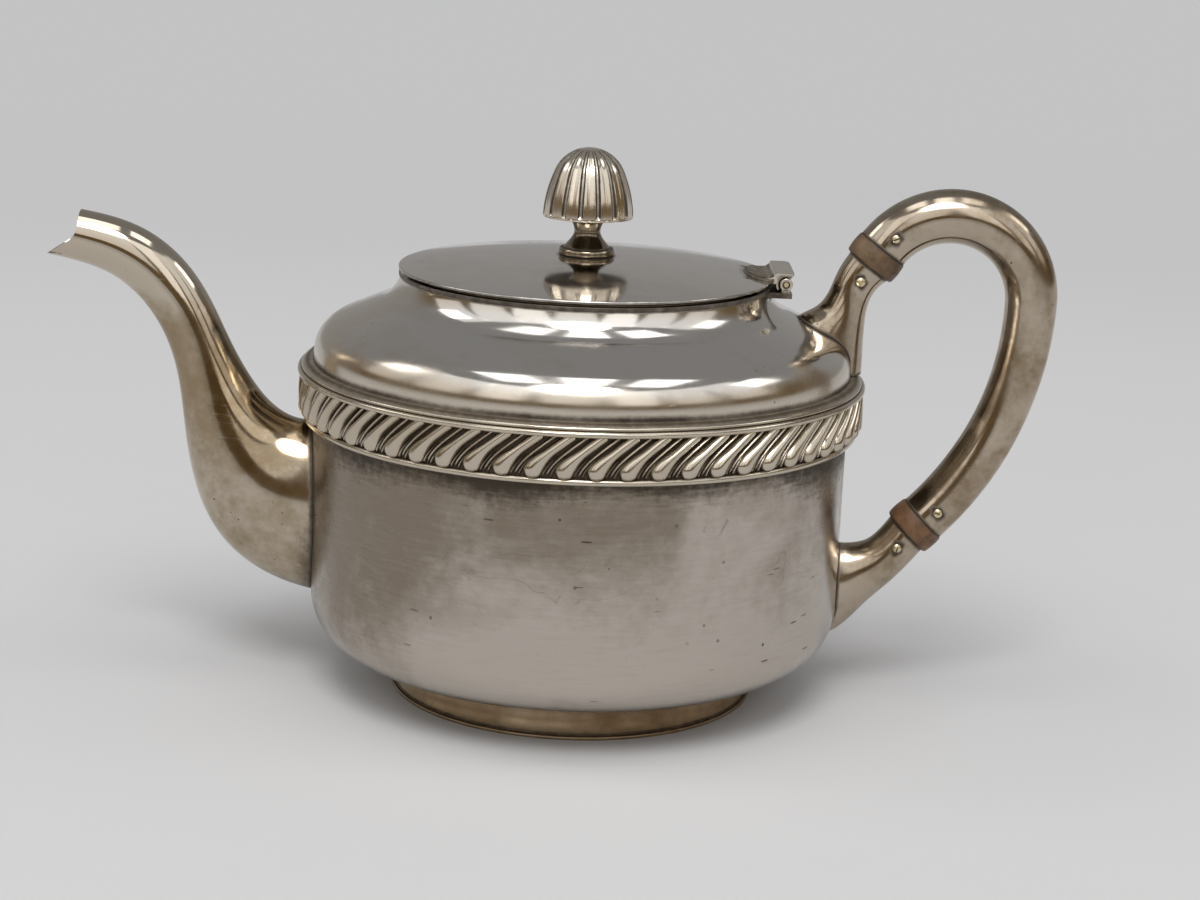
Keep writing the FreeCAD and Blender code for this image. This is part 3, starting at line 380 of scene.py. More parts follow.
# mesh helpers: outlines are closed loops of (radius, height)

# weld in metres, sharp and bevelTurn in degrees
meshDetail = {
    "around": 288, "onAxis": 1e-6, "roundHold": 0.3, "roundSteps": 4, "weld": 1e-7, "sharp": 38.0,
    "bevelSteps": 2, "bevelTurn": 40.0,
}


def arcOf(middleX, middleZ, radius, start, end, steps):
    turns = [math.radians(start + (end - start) * k / steps) for k in range(steps + 1)]
    return [(middleX + radius * math.cos(t), middleZ + radius * math.sin(t)) for t in turns]


def circleOf(radius, steps):
    turns = [2 * math.pi * k / steps for k in range(steps)]
    return [(radius * math.cos(t), radius * math.sin(t)) for t in turns]


def softened(corners, hold=meshDetail["roundHold"], steps=meshDetail["roundSteps"]):
    # a third number on a corner rounds it by that radius; hold keeps the faces beside it flat
    loop = []
    count = len(corners)
    for k, corner in enumerate(corners):
        here = Vector(corner[:2])
        if len(corner) < 3:
            loop.append(tuple(here))
            continue
        radius = corner[2]
        before = Vector(corners[k - 1][:2]) - here
        after = Vector(corners[(k + 1) % count][:2]) - here
        half = before.angle(after) / 2
        back = radius / math.tan(half)
        middle = here + (before.normalized() + after.normalized()).normalized() * radius / math.sin(half)
        first, last = (here + side.normalized() * back - middle for side in (before, after))
        if before.length > 2 * (back + hold):
            loop.append(tuple(here + before.normalized() * (back + hold)))
        for step in range(steps + 1):
            share = step / steps
            spoke = (first * (1 - share) + last * share).normalized() * radius
            loop.append(tuple(middle + spoke))
        if after.length > 2 * (back + hold):
            loop.append(tuple(here + after.normalized() * (back + hold)))
    return loop


def spun(loop, steps=meshDetail["around"]):
    # turns a loop round the upright axis; a point on the axis stays a single one
    verts, faces, rings = [], [], []
    for radius, height in loop:
        first = len(verts)
        if radius < meshDetail["onAxis"]:
            verts.append((0.0, 0.0, height))
            rings.append([first] * steps)
            continue
        verts += [(x, y, height) for x, y in circleOf(radius, steps)]
        rings.append(list(range(first, first + steps)))
    for low, high in zip(rings, rings[1:] + rings[:1]):
        for k in range(steps):
            corners = (low[k], low[(k + 1) % steps], high[(k + 1) % steps], high[k])
            face = tuple(dict.fromkeys(corners))
            if len(face) > 2:
                faces.append(face)
    return verts, faces


def swept(rings, closedAlong=False):
    # a skin over rings of equally many points; closedAlong joins the last ring to the first
    verts = [point for ring in rings for point in ring]
    around = len(rings[0])
    faces = []
    for r in range(len(rings) if closedAlong else len(rings) - 1):
        low, high = r * around, (r + 1) % len(rings) * around
        for k in range(around):
            j = (k + 1) % around
            faces.append((low + k, low + j, high + j, high + k))
    return verts, faces


def capped(rings):
    # a sweep with a flat face at each end
    count = len(rings[0])
    verts, faces = swept(rings)
    return verts, faces + [tuple(range(count)), tuple(range(len(verts) - 1, len(verts) - count - 1, -1))]


def slab(upper, lower, wide):
    # a plate between two grids of points that have wide points in each row
    rows, cells, shift = len(upper) // wide - 1, wide - 1, len(upper)
    faces = []
    for row in range(rows):
        for cell in range(cells):
            a = row * wide + cell
            faces.append((a, a + 1, a + wide + 1, a + wide))
            faces.append((shift + a, shift + a + wide, shift + a + wide + 1, shift + a + 1))
    rim = [row * wide for row in range(rows + 1)] + [rows * wide + cell for cell in range(1, wide)]
    rim += [row * wide + cells for row in range(rows - 1, -1, -1)] + list(range(cells - 1, 0, -1))
    for a, b in zip(rim, rim[1:] + rim[:1]):
        faces.append((a, b, shift + b, shift + a))
    return upper + lower, faces


def joined(*shapes):
    verts, faces = [], []
    for shapeVerts, shapeFaces in shapes:
        shift = len(verts)
        verts += shapeVerts
        faces += [tuple(v + shift for v in face) for face in shapeFaces]
    return verts, faces


def turnedShape(shape, matrix):
    verts, faces = shape
    return [tuple(matrix @ Vector(v)) for v in verts], faces


def layAt(x, z, degrees, axis):
    # a matrix that turns a shape about an axis and sets it down in the pot's middle plane
    return Matrix.Translation((x, 0, z)) @ Matrix.Rotation(math.radians(degrees), 4, axis)


def newMesh(name, shape):
    verts, faces = shape
    mesh = bpy.data.meshes.new(name)
    mesh.from_pydata([(x * mm, y * mm, z * mm) for x, y, z in verts], [], faces)
    work = bmesh.new()
    work.from_mesh(mesh)
    bmesh.ops.remove_doubles(work, verts=work.verts, dist=meshDetail["weld"])
    bmesh.ops.recalc_face_normals(work, faces=work.faces)
    work.to_mesh(mesh)
    work.free()
    return mesh


def smoothed(mesh, sharp):
    mesh.shade_smooth()
    mesh.set_sharp_from_angle(angle=math.radians(sharp))


def addMarks(mesh, kind, amountAt):
    # how much dirt (soil) or film each point holds; in some pieces these marks also paint shadow, shade and
    # reflections
    layer = mesh.attributes.new(kind, "FLOAT", "POINT")
    layer.data.foreach_set("value", [min(1.0, max(-1.0, amountAt(*(v.co / mm)))) for v in mesh.vertices])


def addPiece(name, shape, body, finish, nodes, soilAt, hazeAndPaintedLightAt=None,
             sharp=meshDetail["sharp"], bevel=0.0):
    mesh = newMesh(name, shape)
    addMarks(mesh, "soil", soilAt)
    if hazeAndPaintedLightAt:
        addMarks(mesh, "hazeAndPaintedLight", hazeAndPaintedLightAt)
    smoothed(mesh, sharp)
    mesh.materials.append(finish)
    piece = bpy.data.objects.new(name, mesh)
    bpy.context.scene.collection.objects.link(piece)
    if bevel:
        edge = piece.modifiers.new("softEdge", "BEVEL")
        edge.width = bevel * mm
        edge.segments = meshDetail["bevelSteps"]
        edge.limit_method = "ANGLE"
        edge.angle_limit = math.radians(meshDetail["bevelTurn"])
    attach(piece, body)
    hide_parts(*nodes)
    return piece


def carve(piece, shape):
    # cuts the shape out of the piece and keeps the result as its mesh
    tool = bpy.data.objects.new("carvingTool", newMesh("carvingTool", shape))
    bpy.context.scene.collection.objects.link(tool)
    cut = piece.modifiers.new("carve", "BOOLEAN")
    cut.object, cut.operation, cut.solver = tool, "DIFFERENCE", "EXACT"
    graph = bpy.context.evaluated_depsgraph_get()
    cutPiece = piece.evaluated_get(graph)
    piece.data = bpy.data.meshes.new_from_object(cutPiece, preserve_all_data_layers=True, depsgraph=graph)
    piece.modifiers.remove(cut)
    bpy.data.objects.remove(tool)
    smoothed(piece.data, meshDetail["sharp"])


def near(distance, reach):
    return math.exp(-(distance / reach) ** 2)


def fadeAbove(value, level, reach):
    # 1 up to the level, then less and less
    return near(max(value - level, 0.0), reach)


def fadeBelow(value, level, reach):
    return near(max(level - value, 0.0), reach)


def wavy(turn, waves):
    # 0 to 1 round the pot, from two waves given by their count and start
    (slow, slowStart), (quick, quickStart) = waves
    return 0.5 + 0.5 * math.sin(slow * turn + slowStart) * math.sin(quick * turn + quickStart)


# the pot's outline, which the tubes end against

pot = {
    "drum": 71.7, "bottom": 11.2, "corner": 15.0, "rim": 81.0, "wall": 1.2,
    "coveMiddle": (58.68, 114.0), "cove": 9.64, "neckTop": 112.2,
    "shelfTurn": 66.0, "shelfSteps": 10, "rollMiddle": (61.96, 91.33), "roll": 9.74,
    "beltFoot": 74.0, "beltTop": 89.5, "belt": 76.05, "seat": 0.1,
    "lineSteps": 26, "outlineSteps": 60,
}
coveX, coveZ = pot["coveMiddle"]
rollX, rollZ = pot["rollMiddle"]
coveLow = 180 + pot["shelfTurn"]  # where the cove runs into the sloping shelf
coveHigh = 180 + math.degrees(math.asin((coveZ - pot["neckTop"]) / pot["cove"]))


def shoulderLine(inset, steps=pot["lineSteps"]):
    # from the neck down the cove, along the shelf and round the roll
    cove = arcOf(coveX, coveZ, pot["cove"] + inset, coveHigh, coveLow, steps)
    roll = arcOf(rollX, rollZ, pot["roll"] - inset, pot["shelfTurn"], 0, steps)
    shares = [k / pot["shelfSteps"] for k in range(1, pot["shelfSteps"])]
    shelf = [tuple(Vector(cove[-1]).lerp(Vector(roll[0]), share)) for share in shares]
    return cove + shelf + roll


outline = shoulderLine(0.0, pot["outlineSteps"])


def outlineRadius(height):
    if height < pot["bottom"] + pot["corner"]:
        drop = pot["bottom"] + pot["corner"] - height
        return pot["drum"] - pot["corner"] + math.sqrt(max(0.0, pot["corner"] ** 2 - drop ** 2))
    if height < pot["beltFoot"]:
        return pot["drum"]
    if height < pot["beltTop"]:
        return pot["belt"]
    tiny = 1e-9
    for (topX, topZ), (lowX, lowZ) in zip(outline, outline[1:]):
        if lowZ <= height <= topZ:
            return topX + (lowX - topX) * (topZ - height) / max(topZ - lowZ, tiny)
    return pot["drum"] if height < rollZ else 0.0


def insidePot(point):
    return math.hypot(point[0], point[1]) < outlineRadius(point[2] - pot["seat"]) + pot["seat"]


# flared tubes: a section is its distance out from the drum, height over the drum's rim,
# lean from upright in degrees, half height and half width

def smoothCurve(stops, values):
    # natural cubic curve through the values
    stops, values = numpy.array(stops), numpy.array(values, float)
    count = len(stops)
    gaps = numpy.diff(stops)
    rows, right = numpy.eye(count), numpy.zeros(values.shape)
    for k in range(1, count - 1):
        rows[k, k - 1:k + 2] = gaps[k - 1], 2 * (gaps[k - 1] + gaps[k]), gaps[k]
        right[k] = 6 * ((values[k + 1] - values[k]) / gaps[k] - (values[k] - values[k - 1]) / gaps[k - 1])
    bends = numpy.linalg.solve(rows, right)

    def at(stop):
        k = int(min(max(numpy.searchsorted(stops, stop) - 1, 0), count - 2))
        gap, a, b = gaps[k], stops[k + 1] - stop, stop - stops[k]
        bent = (bends[k] * a ** 3 + bends[k + 1] * b ** 3) / (6 * gap)
        before = (values[k] / gap - bends[k] * gap / 6) * a
        after = (values[k + 1] / gap - bends[k + 1] * gap / 6) * b
        return bent + before + after
    return at


def placed(sections, side):
    # side is -1 for the spout and 1 for the handle
    return [(side * (pot["drum"] + out), pot["rim"] + up, *rest) for out, up, *rest in sections]


def flaredTube(sections, side, shape, isPast):
    # a hollow tube from the pot's outline to its own end, and the points where it meets the pot
    around, along = shape["around"], shape["along"]
    looks, halvings = 300, 24
    stops = [0.0]
    for first, second in zip(sections, sections[1:]):
        stops.append(stops[-1] + math.hypot(second[0] - first[0], second[1] - first[1]))
    at = smoothCurve(stops, sections)
    fine = [stops[-1] * k / looks for k in range(looks + 1)]
    looked = [at(stop) for stop in fine]

    def pointOf(values, turn, thin):
        x, z, lean, tall, wide = values
        lean = math.radians(lean)
        across = math.cos(turn) * (tall - thin)
        sideways = math.sin(turn) * (wide - thin)
        return (x + across * math.cos(lean), sideways, z - side * across * math.sin(lean))

    def crossing(test, low, high, turn, thin):
        # test holds at low and not at high
        for _ in range(halvings):
            middle = (low + high) / 2
            if test(pointOf(at(middle), turn, thin)):
                low = middle
            else:
                high = middle
        return (low + high) / 2

    skins = []
    for thin in (0.0, shape["wall"]):
        lines = []
        for k in range(around):
            turn = 2 * math.pi * k / around
            points = [pointOf(values, turn, thin) for values in looked]
            inside = [n for n, point in enumerate(points) if insidePot(point)]
            first = inside[-1] if inside else -1
            start = crossing(insidePot, fine[first], fine[first + 1], turn, thin) if inside else 0.0
            past = [n for n in range(first + 1, len(points)) if isPast(points[n])]
            if past and past[0] > 0:
                end = crossing(lambda point: not isPast(point), fine[past[0] - 1], fine[past[0]], turn, thin)
            else:
                end = stops[-1]
            run = [start + (end - start) * step / along for step in range(along + 1)]
            lines.append([pointOf(at(stop), turn, thin) for stop in run])
        skins.append([[line[step] for line in lines] for step in range(along + 1)])
    outer, inner = skins
    return swept(outer + inner[::-1], closedAlong=True), outer[0]


spoutShape = {
    "sections": [
        (-9.7, -33.5, 90.0, 24.5, 16.0), (0.8, -33.8, 88.0, 23.2, 15.0), (13.6, -27.6, 60.7, 20.0, 13.0),
        (21.35, -16.45, 37.4, 14.55, 10.8), (26.5, -2.4, 17.5, 9.8, 8.6), (31.15, 9.95, 16.0, 7.85, 7.4),
        (39.05, 24.35, 38.0, 7.7, 7.0), (50.25, 33.75, 57.3, 7.5, 6.7), (65.2, 38.1, 78.5, 6.8, 6.4),
        (73.3, 39.5, 80.0, 6.7, 6.4),
    ],
    "mouthX": -134.2, "mouthStep": 119.3, "lipX": -143.1, "lipZ": 113.7, "lipCurve": 3.0,
    "wall": 1.2, "around": 96, "along": 150,
    # dirt inside the mouth
    "boreX": -128.0, "boreHalf": 4.0, "boreLow": 114.0, "boreHigh": 121.0, "boreSoil": 0.7,
    # dirt along the seam, painted shade on the bend, and a painted lighter reflection towards the lip
    "seamSoil": 0.85, "seamReach": 1.3, "rootSoil": 0.55, "rootReach": 5.5, "rootTop": 38.0, "rootFade": 9.0,
    "bendPaintedShade": 0.18, "bendMiddle": 82.0, "bendHalf": 10.0, "bendFade": 11.0,
    "lipPaintedReflection": 0.25, "lipFrom": 112.0, "lipFade": 8.0,
}
gripShape = {
    "radius": 6.9, "wall": 1.2, "top": (96.9, 110.5, 22.3, 144.4), "side": (32.8, 110.5, 86.4, -44.5),
    "collar": 6.0, "collarRadius": 7.3, "socket": 6.2, "setback": 4.3,
    "topSteps": 60, "sideSteps": 70, "around": 72,
    # swellAt, slimAt and spread are shares of the grip's length
    "topSwell": 0.35, "swellAt": 0.22, "sideSlim": 0.2, "slimAt": 0.68, "spread": 0.16,
    "endSoil": 0.85, "endReach": 0.7, "endRange": 14.0,
}
socketShape = {
    "upper": [
        (-9.1, 11.0, 24.0, 13.4, 9.7), (-7.2, 15.3, 24.0, 11.5, 8.5), (-5.2, 21.0, 19.0, 8.95, 7.2),
        (-2.9, 25.2, 12.0, 6.5, 6.2), (0.9, 34.0, 24.0, 5.75, 5.7),
    ],
    "lower": [
        (-7.7, -52.0, 90.0, 14.0, 7.5), (1.0, -51.0, 90.0, 12.0, 7.2), (6.35, -47.3, 79.0, 8.7, 6.7),
        (10.5, -44.3, 67.5, 7.0, 6.4), (14.5, -40.4, 53.4, 6.3, 6.2),
    ],
    "wall": 1.2, "around": 72, "along": 60, "seamSoil": 0.8, "seamReach": 0.8, "endSoil": 0.8,
}


def gripEnd(name):
    # x, z and lean of the grip's end face
    middleX, middleZ, radius, turn = gripShape["top" if name == "upper" else "side"]
    angle = math.radians(turn)
    lean = 180 - turn if name == "upper" else -turn
    return middleX + radius * math.cos(angle), middleZ + radius * math.sin(angle), lean


def alongEnd(name, distance):
    x, z, lean = gripEnd(name)
    return x + distance * math.sin(math.radians(lean)), z + distance * math.cos(math.radians(lean))


def pastLip(point):
    # the mouth is cut straight at the top and runs out in a lower lip
    s = spoutShape
    past = s["mouthX"] - point[0]
    slope = (s["mouthStep"] - s["lipZ"]) / (s["mouthX"] - s["lipX"])
    above = point[2] - (s["mouthStep"] - past * slope)
    gap = max(s["lipCurve"] - abs(past - above), 0.0) / s["lipCurve"]
    return min(past, above) - gap * gap * s["lipCurve"] / 4 > 0


seams = {}
spoutTube, seams["spout"] = flaredTube(placed(spoutShape["sections"], -1), -1, spoutShape, pastLip)
socketTubes = {}
for end in ("upper", "lower"):
    face = (*alongEnd(end, -gripShape["collar"]), gripEnd(end)[2], gripShape["socket"], gripShape["socket"])
    sections = placed(socketShape[end], 1) + [face]
    socketTubes[end], seams[end] = flaredTube(sections, 1, socketShape, lambda point: False)


def treeOf(points):
    tree = KDTree(len(points))
    for number, point in enumerate(points):
        tree.insert(point, number)
    tree.balance()
    return tree


seamTree = treeOf([point for ring in seams.values() for point in ring])
pinSpots = {}
for end in ("upper", "lower"):
    for held, distance, radius in (
        ("grip", gripShape["setback"], gripShape["radius"]),
        ("socket", -gripShape["collar"] - gripShape["setback"], gripShape["socket"]),
    ):
        pinSpots[end + "_" + held] = (*alongEnd(end, distance), radius)


def seamSoil(x, y, z, reach):
    return near(seamTree.find((x, y, z))[2], reach)


haloShape = {  # the dirt round the pins' heads; waves are each one's size and count
    "head": 1.4, "soil": 0.62, "moreSoil": 0.3, "reach": 0.4, "moreReach": 0.9, "waves": ((0.3, 2), (0.2, 5)),
}


def pinSoil(x, y, z):
    # a dark halo of uneven width round each pin's head
    if y > 0:
        return 0.0
    s = haloShape
    nearest, spot = min((math.hypot(x - spot[0], z - spot[1]), spot) for spot in pinSpots.values())
    turn = math.atan2(z - spot[1], x - spot[0])
    uneven = 0.5
    for (size, count), start in zip(s["waves"], spot):
        uneven += size * math.sin(count * turn + start)
    reach = s["reach"] + s["moreReach"] * uneven
    return (s["soil"] + s["moreSoil"] * uneven) * fadeAbove(nearest, s["head"], reach)


def endSoil(x, y, z):
    # where the tubes meet the collars
    soil = 0.0
    for end in ("upper", "lower"):
        lean = math.radians(gripEnd(end)[2])
        for distance in (0.0, -gripShape["collar"]):
            atX, atZ = alongEnd(end, distance)
            gap = abs((x - atX) * math.sin(lean) + (z - atZ) * math.cos(lean))
            if math.hypot(x - atX, z - atZ) < gripShape["endRange"]:
                soil = max(soil, near(gap, gripShape["endReach"]))
    return soil


def spoutSoil(x, y, z):
    s = spoutShape
    inBore = x < s["boreX"] and abs(y) < s["boreHalf"] and s["boreLow"] < z < s["boreHigh"]
    root = s["rootSoil"] * seamSoil(x, y, z, s["rootReach"]) * fadeAbove(z, s["rootTop"], s["rootFade"])
    return max(s["seamSoil"] * seamSoil(x, y, z, s["seamReach"]), root, s["boreSoil"] if inBore else 0.0)


def spoutPaintedReflection(x, y, z):
    # painted shade: browner where the neck bends upwards; painted reflection: lighter towards the lip
    s = spoutShape
    brown = s["bendPaintedShade"] * fadeAbove(abs(z - s["bendMiddle"]), s["bendHalf"], s["bendFade"])
    return brown - s["lipPaintedReflection"] * fadeBelow(z, s["lipFrom"], s["lipFade"])


def socketSoil(x, y, z):
    s = socketShape
    seam = s["seamSoil"] * seamSoil(x, y, z, s["seamReach"])
    return max(seam, pinSoil(x, y, z), s["endSoil"] * endSoil(x, y, z))


addPiece("swanNeckSpout", spoutTube, "pot", spoutSilver, ["spout"], spoutSoil, spoutPaintedReflection)
for end in ("upper", "lower"):
    addPiece(end + "Socket", socketTubes[end], "pot", handleSilver, [end + "_handle_socket"],
             socketSoil)
print("spout and sockets made")


# bowl, shoulder, foot

bowlShape = {
    "wallRows": 22, "floorRows": 8, "cornerSteps": 20, "insideRows": 5, "insideSteps": 14,
    # the strainer behind the spout
    "hole": 2.1, "pitch": 6.4, "middle": 48.0, "holeFrom": -78.0, "holeTo": -62.0, "holeSteps": 20,
    "holeRows": 3,
    # dirt, with a painted shadow under the border, then film, with painted reflection and shade
    "insideSoil": 0.3, "waves": ((3, 0.6), (7, 1.9)), "beltSoil": 0.64, "moreSoil": 0.3,
    "beltReach": 2.6, "moreReach": 4.2, "sideShadowReach": 3.5, "sidePower": 3, "footSoil": 0.5, "footReach": 1.2,
    "seamSoil": 0.9, "seamReach": 1.5,
    "spoutPaintedReflection": 0.34, "spoutPower": 1.3, "underBorderShadow": 0.24, "beltFade": 16.0,
    "lowPaler": 0.22, "lowMiddle": 24.0, "lowFade": 12.0,
    "sidePaler": 0.06, "sideMiddle": 0.6, "sideFade": 0.4,
}


def makeBowl():
    s = bowlShape
    drum, bottom, corner, rim, wall = (pot[k] for k in ("drum", "bottom", "corner", "rim", "wall"))
    bendX, bendZ = drum - corner, bottom + corner
    rows = [bendZ + (rim - bendZ) * k / s["wallRows"] for k in range(1, s["wallRows"] + 1)]
    loop = [(0.0, bottom)] + [(bendX * k / s["floorRows"], bottom) for k in range(1, s["floorRows"])]
    loop += arcOf(bendX, bendZ, corner, -90, 0, s["cornerSteps"]) + [(drum, z) for z in rows]
    loop += [(drum - wall, z) for z in reversed(rows)]
    loop += arcOf(bendX, bendZ, corner - wall, 0, -90, s["insideSteps"])
    loop += [(bendX * k / s["insideRows"], bottom + wall) for k in range(s["insideRows"] - 1, -1, -1)]

    def soilAt(x, y, z):
        radius = math.hypot(x, y)
        if radius < drum - wall / 2 and z > bottom + wall / 2 and radius < outlineRadius(z) - wall / 2:
            return s["insideSoil"]
        turn = math.atan2(y, x)
        uneven = wavy(turn, s["waves"])
        side = s["sideShadowReach"] * abs(math.cos(turn)) ** s["sidePower"]
        reach = s["beltReach"] + s["moreReach"] * uneven + side
        # painted shadow under the border, with some tarnish, taller at the sides
        belt = (s["beltSoil"] + s["moreSoil"] * uneven) * fadeBelow(z, pot["beltFoot"], reach)
        foot = s["footSoil"] * near(z - bottom, s["footReach"])
        return max(belt, foot, s["seamSoil"] * seamSoil(x, y, z, s["seamReach"]))

    def hazeAndPaintedLightAt(x, y, z):
        # painted dark reflection of the spout and the room towards the spout, painted shadow under the
        # border, and lighter low down and at one side
        turn = math.atan2(y, x)
        towardsSpout = s["spoutPaintedReflection"] * max(0.0, -math.cos(turn)) ** s["spoutPower"]
        underBorder = s["underBorderShadow"] * fadeBelow(z, pot["beltFoot"], s["beltFade"])
        palerLow = s["lowPaler"] * near(z - s["lowMiddle"], s["lowFade"])
        palerSide = s["sidePaler"] * near(math.cos(turn) - s["sideMiddle"], s["sideFade"])
        return towardsSpout + underBorder - palerLow - palerSide

    piece = addPiece("drumBowl", spun(loop), "pot", bodySilver, ["body_bowl"], soilAt, hazeAndPaintedLightAt)
    holes = []
    circle = circleOf(s["hole"], s["holeSteps"])
    for row in range(-s["holeRows"], s["holeRows"] + 1):
        height = s["middle"] + row * s["pitch"] * math.sqrt(0.75)  # rows of a triangular pattern
        for step in ((-1, 0, 1) if row % 2 == 0 else (-0.5, 0.5)):
            ring = [(step * s["pitch"] + a, height + b) for a, b in circle]
            holes.append(capped([[(x, y, z) for y, z in ring] for x in (s["holeFrom"], s["holeTo"])]))
    carve(piece, joined(*holes))


makeBowl()

shoulderShape = {
    "lap": 5.0, "lapWall": 0.9, "gap": 0.1, "wall": 1.2, "skirtRows": (90.0, 87.0, 84.0), "lapTop": 84.0,
    "wallFoot": 86.0, "insideSoil": 0.3, "lapDepth": 0.5, "skinDepth": 0.6,
    "waves": ((4, 0.4), (9, 1.1)), "beltSoil": 0.75, "moreSoil": 0.2, "beltReach": 0.8, "moreReach": 0.7,
    "neckSoil": 0.7, "neckReach": 0.5, "seamSoil": 0.8, "seamReach": 0.9,
    "hingeSoil": 0.8, "hingeHalf": 10.8, "hingeFoot": 110.6, "hingeReach": 0.8, "hingeFrom": 108.0,
    "rollPaintedReflection": 0.5, "rollTop": 93.0, "rollFade": 3.5, "spoutPaintedReflection": 0.35, "spoutPower": 2, "shelfClean": 0.1,
}


def makeShoulder():
    s = shoulderShape
    wall, gap = s["wall"], s["gap"]
    outer = shoulderLine(0.0)
    inner = shoulderLine(wall)
    inner[0] = (inner[0][0], pot["neckTop"])
    lapOut = pot["drum"] - wall - gap
    lapIn = lapOut - s["lapWall"]
    lapFoot = pot["rim"] - s["lap"]
    base = pot["rim"] + gap
    loop = outer + [(pot["drum"], z) for z in s["skirtRows"]] + [(pot["drum"], base), (lapOut, base)]
    loop += [(lapOut, lapFoot), (lapIn, lapFoot), (lapIn, s["lapTop"]), (pot["drum"] - wall, s["wallFoot"])]
    loop += inner[::-1]

    def soilAt(x, y, z):
        radius = math.hypot(x, y)
        if z < rollZ and radius < pot["drum"] - s["lapDepth"] or radius < outlineRadius(z) - s["skinDepth"]:
            return s["insideSoil"]
        uneven = wavy(math.atan2(y, x), s["waves"])
        reach = s["beltReach"] + s["moreReach"] * uneven
        belt = (s["beltSoil"] + s["moreSoil"] * uneven) * fadeAbove(z, pot["beltTop"], reach)
        neck = s["neckSoil"] * near(pot["neckTop"] - z, s["neckReach"])
        hinge = 0.0
        if x > 0 and z > s["hingeFrom"]:
            across = fadeAbove(abs(y), s["hingeHalf"], s["hingeReach"])
            hinge = s["hingeSoil"] * across * near(s["hingeFoot"] - z, s["hingeReach"])
        return max(belt, neck, hinge, s["seamSoil"] * seamSoil(x, y, z, s["seamReach"]))

    def hazeAndPaintedLightAt(x, y, z):
        # painted brown reflection of the surroundings low on the roll, painted dark reflection of the spout
        # and the room towards it, the rest of the shelf a little cleaner
        towardsSpout = s["spoutPaintedReflection"] * max(0.0, -x / pot["drum"]) ** s["spoutPower"]
        return s["rollPaintedReflection"] * fadeAbove(z, s["rollTop"], s["rollFade"]) + towardsSpout - s["shelfClean"]

    addPiece("shoulderShell", spun(loop), "pot", shoulderSilver, ["shoulder"], soilAt, hazeAndPaintedLightAt)


makeShoulder()

footShape = {
    "outside": 49.5, "edge": 48.8, "waist": 46.8, "inside": 45.4, "flange": 1.1, "top": 11.2, "steps": 24,
    "roundIn": 0.2, "roundLow": 0.3, "roundHigh": 0.4, "skin": 0.3, "insideSoil": 0.55,
    "flangeSoil": 0.8, "flangeOver": 0.15, "flangeReach": 0.35, "topSoil": 0.6, "topReach": 1.6,
}


def makeFoot():
    s = footShape
    rise, hollow = (s["top"] - s["flange"]) / 2, s["edge"] - s["waist"]
    curve = (rise * rise + hollow * hollow) / (2 * hollow)
    spread = math.degrees(math.asin(rise / curve))
    side = arcOf(s["waist"] + curve, s["flange"] + rise, curve, 180 + spread, 180 - spread, s["steps"])
    loop = softened([
        (s["inside"], 0.0, s["roundIn"]), (s["outside"], 0.0, s["roundLow"]),
        (s["outside"], s["flange"], s["roundHigh"]),
    ])
    loop += side + [(s["inside"], s["top"])]

    def soilAt(x, y, z):
        if math.hypot(x, y) < s["inside"] + s["skin"]:
            return s["insideSoil"]
        flange = s["flangeSoil"] * near(z - s["flange"] - s["flangeOver"], s["flangeReach"])
        return max(flange, s["topSoil"] * near(s["top"] - z, s["topReach"]))

    addPiece("footRing", spun(loop), "pot", footSilver, ["foot_ring"], soilAt)


makeFoot()
print("bowl, shoulder and foot made")


# cast border: beads and a band of slanted lobes with thin reeds between each two

borderShape = {
    "inside": 71.8, "band": 73.3, "bandRows": 6, "low": 75.4, "high": 86.2, "lobes": 60, "around": 360,
    # a bead is where its middle lies, its radius, its half turn in degrees and its steps
    "lowBead": (73.566, 74.7, 0.85, 55.4, 8), "highBead": (75.163, 86.9, 0.8, 61.0, 10),
    "topBead": (74.371, 88.1, 0.55, 65.0, 8), "lowEdge": 74.05, "highEdge": 75.55, "valley": (74.75, 87.6),
    "crest": [(74.0, 88.75), (73.4, 89.3), (72.6, 89.5)],
    "fat": 2.45, "tail": 1.4, "fatRise": 2.5, "tailRise": 2.25, "reed": 0.52, "reedRise": 1.45, "sink": 0.4,
    "sideReed": 0.32, "sideRise": 1.15, "sideStep": 0.98, "least": 0.02,
    "lobeFrom": 0.0, "reedFrom": 0.02, "lobeTo": 1.07, "sideTo": 0.55, "shift": -3.9,
    "under": 0.15, "over": 0.1, "sharp": 50,
    # steps along and across
    "lobeSteps": (26, 10), "reedSteps": (20, 8), "sideSteps": (14, 6),
    "footEnd": 0.2, "tipFrom": 0.93, "slimFrom": 0.16, "slimOver": 0.46, "reedFoot": 0.125, "reedTip": 0.92,
    "reedThin": 0.7, "reedMore": 0.3,
    "start": 0.12, "bend": 1.25, "ease": 0.46,  # how steeply a lobe sets off and how far it leans over
    "bandSoil": 0.95, "bandUnder": 0.2, "bandOver": 0.1, "soilRise": 0.2, "soilFade": 1.25,
    "footSoil": 0.55, "footX": 74.0, "footReach": 0.25,
    "valleyX": 74.8, "valleyZ": 87.62, "valleyReach": (0.35, 0.2),
    "crestFrom": 88.6, "crestZ": 88.8, "crestUp": 0.35, "crestReach": 0.5,
}


def roundFoot(share, end):
    return math.sqrt(max(0.0, 1 - (1 - min(share / end, 1.0)) ** 2))


def roundTip(share, start=0.0):
    return math.sqrt(max(0.0, 1 - max((share - start) / (1 - start), 0.0) ** 2))


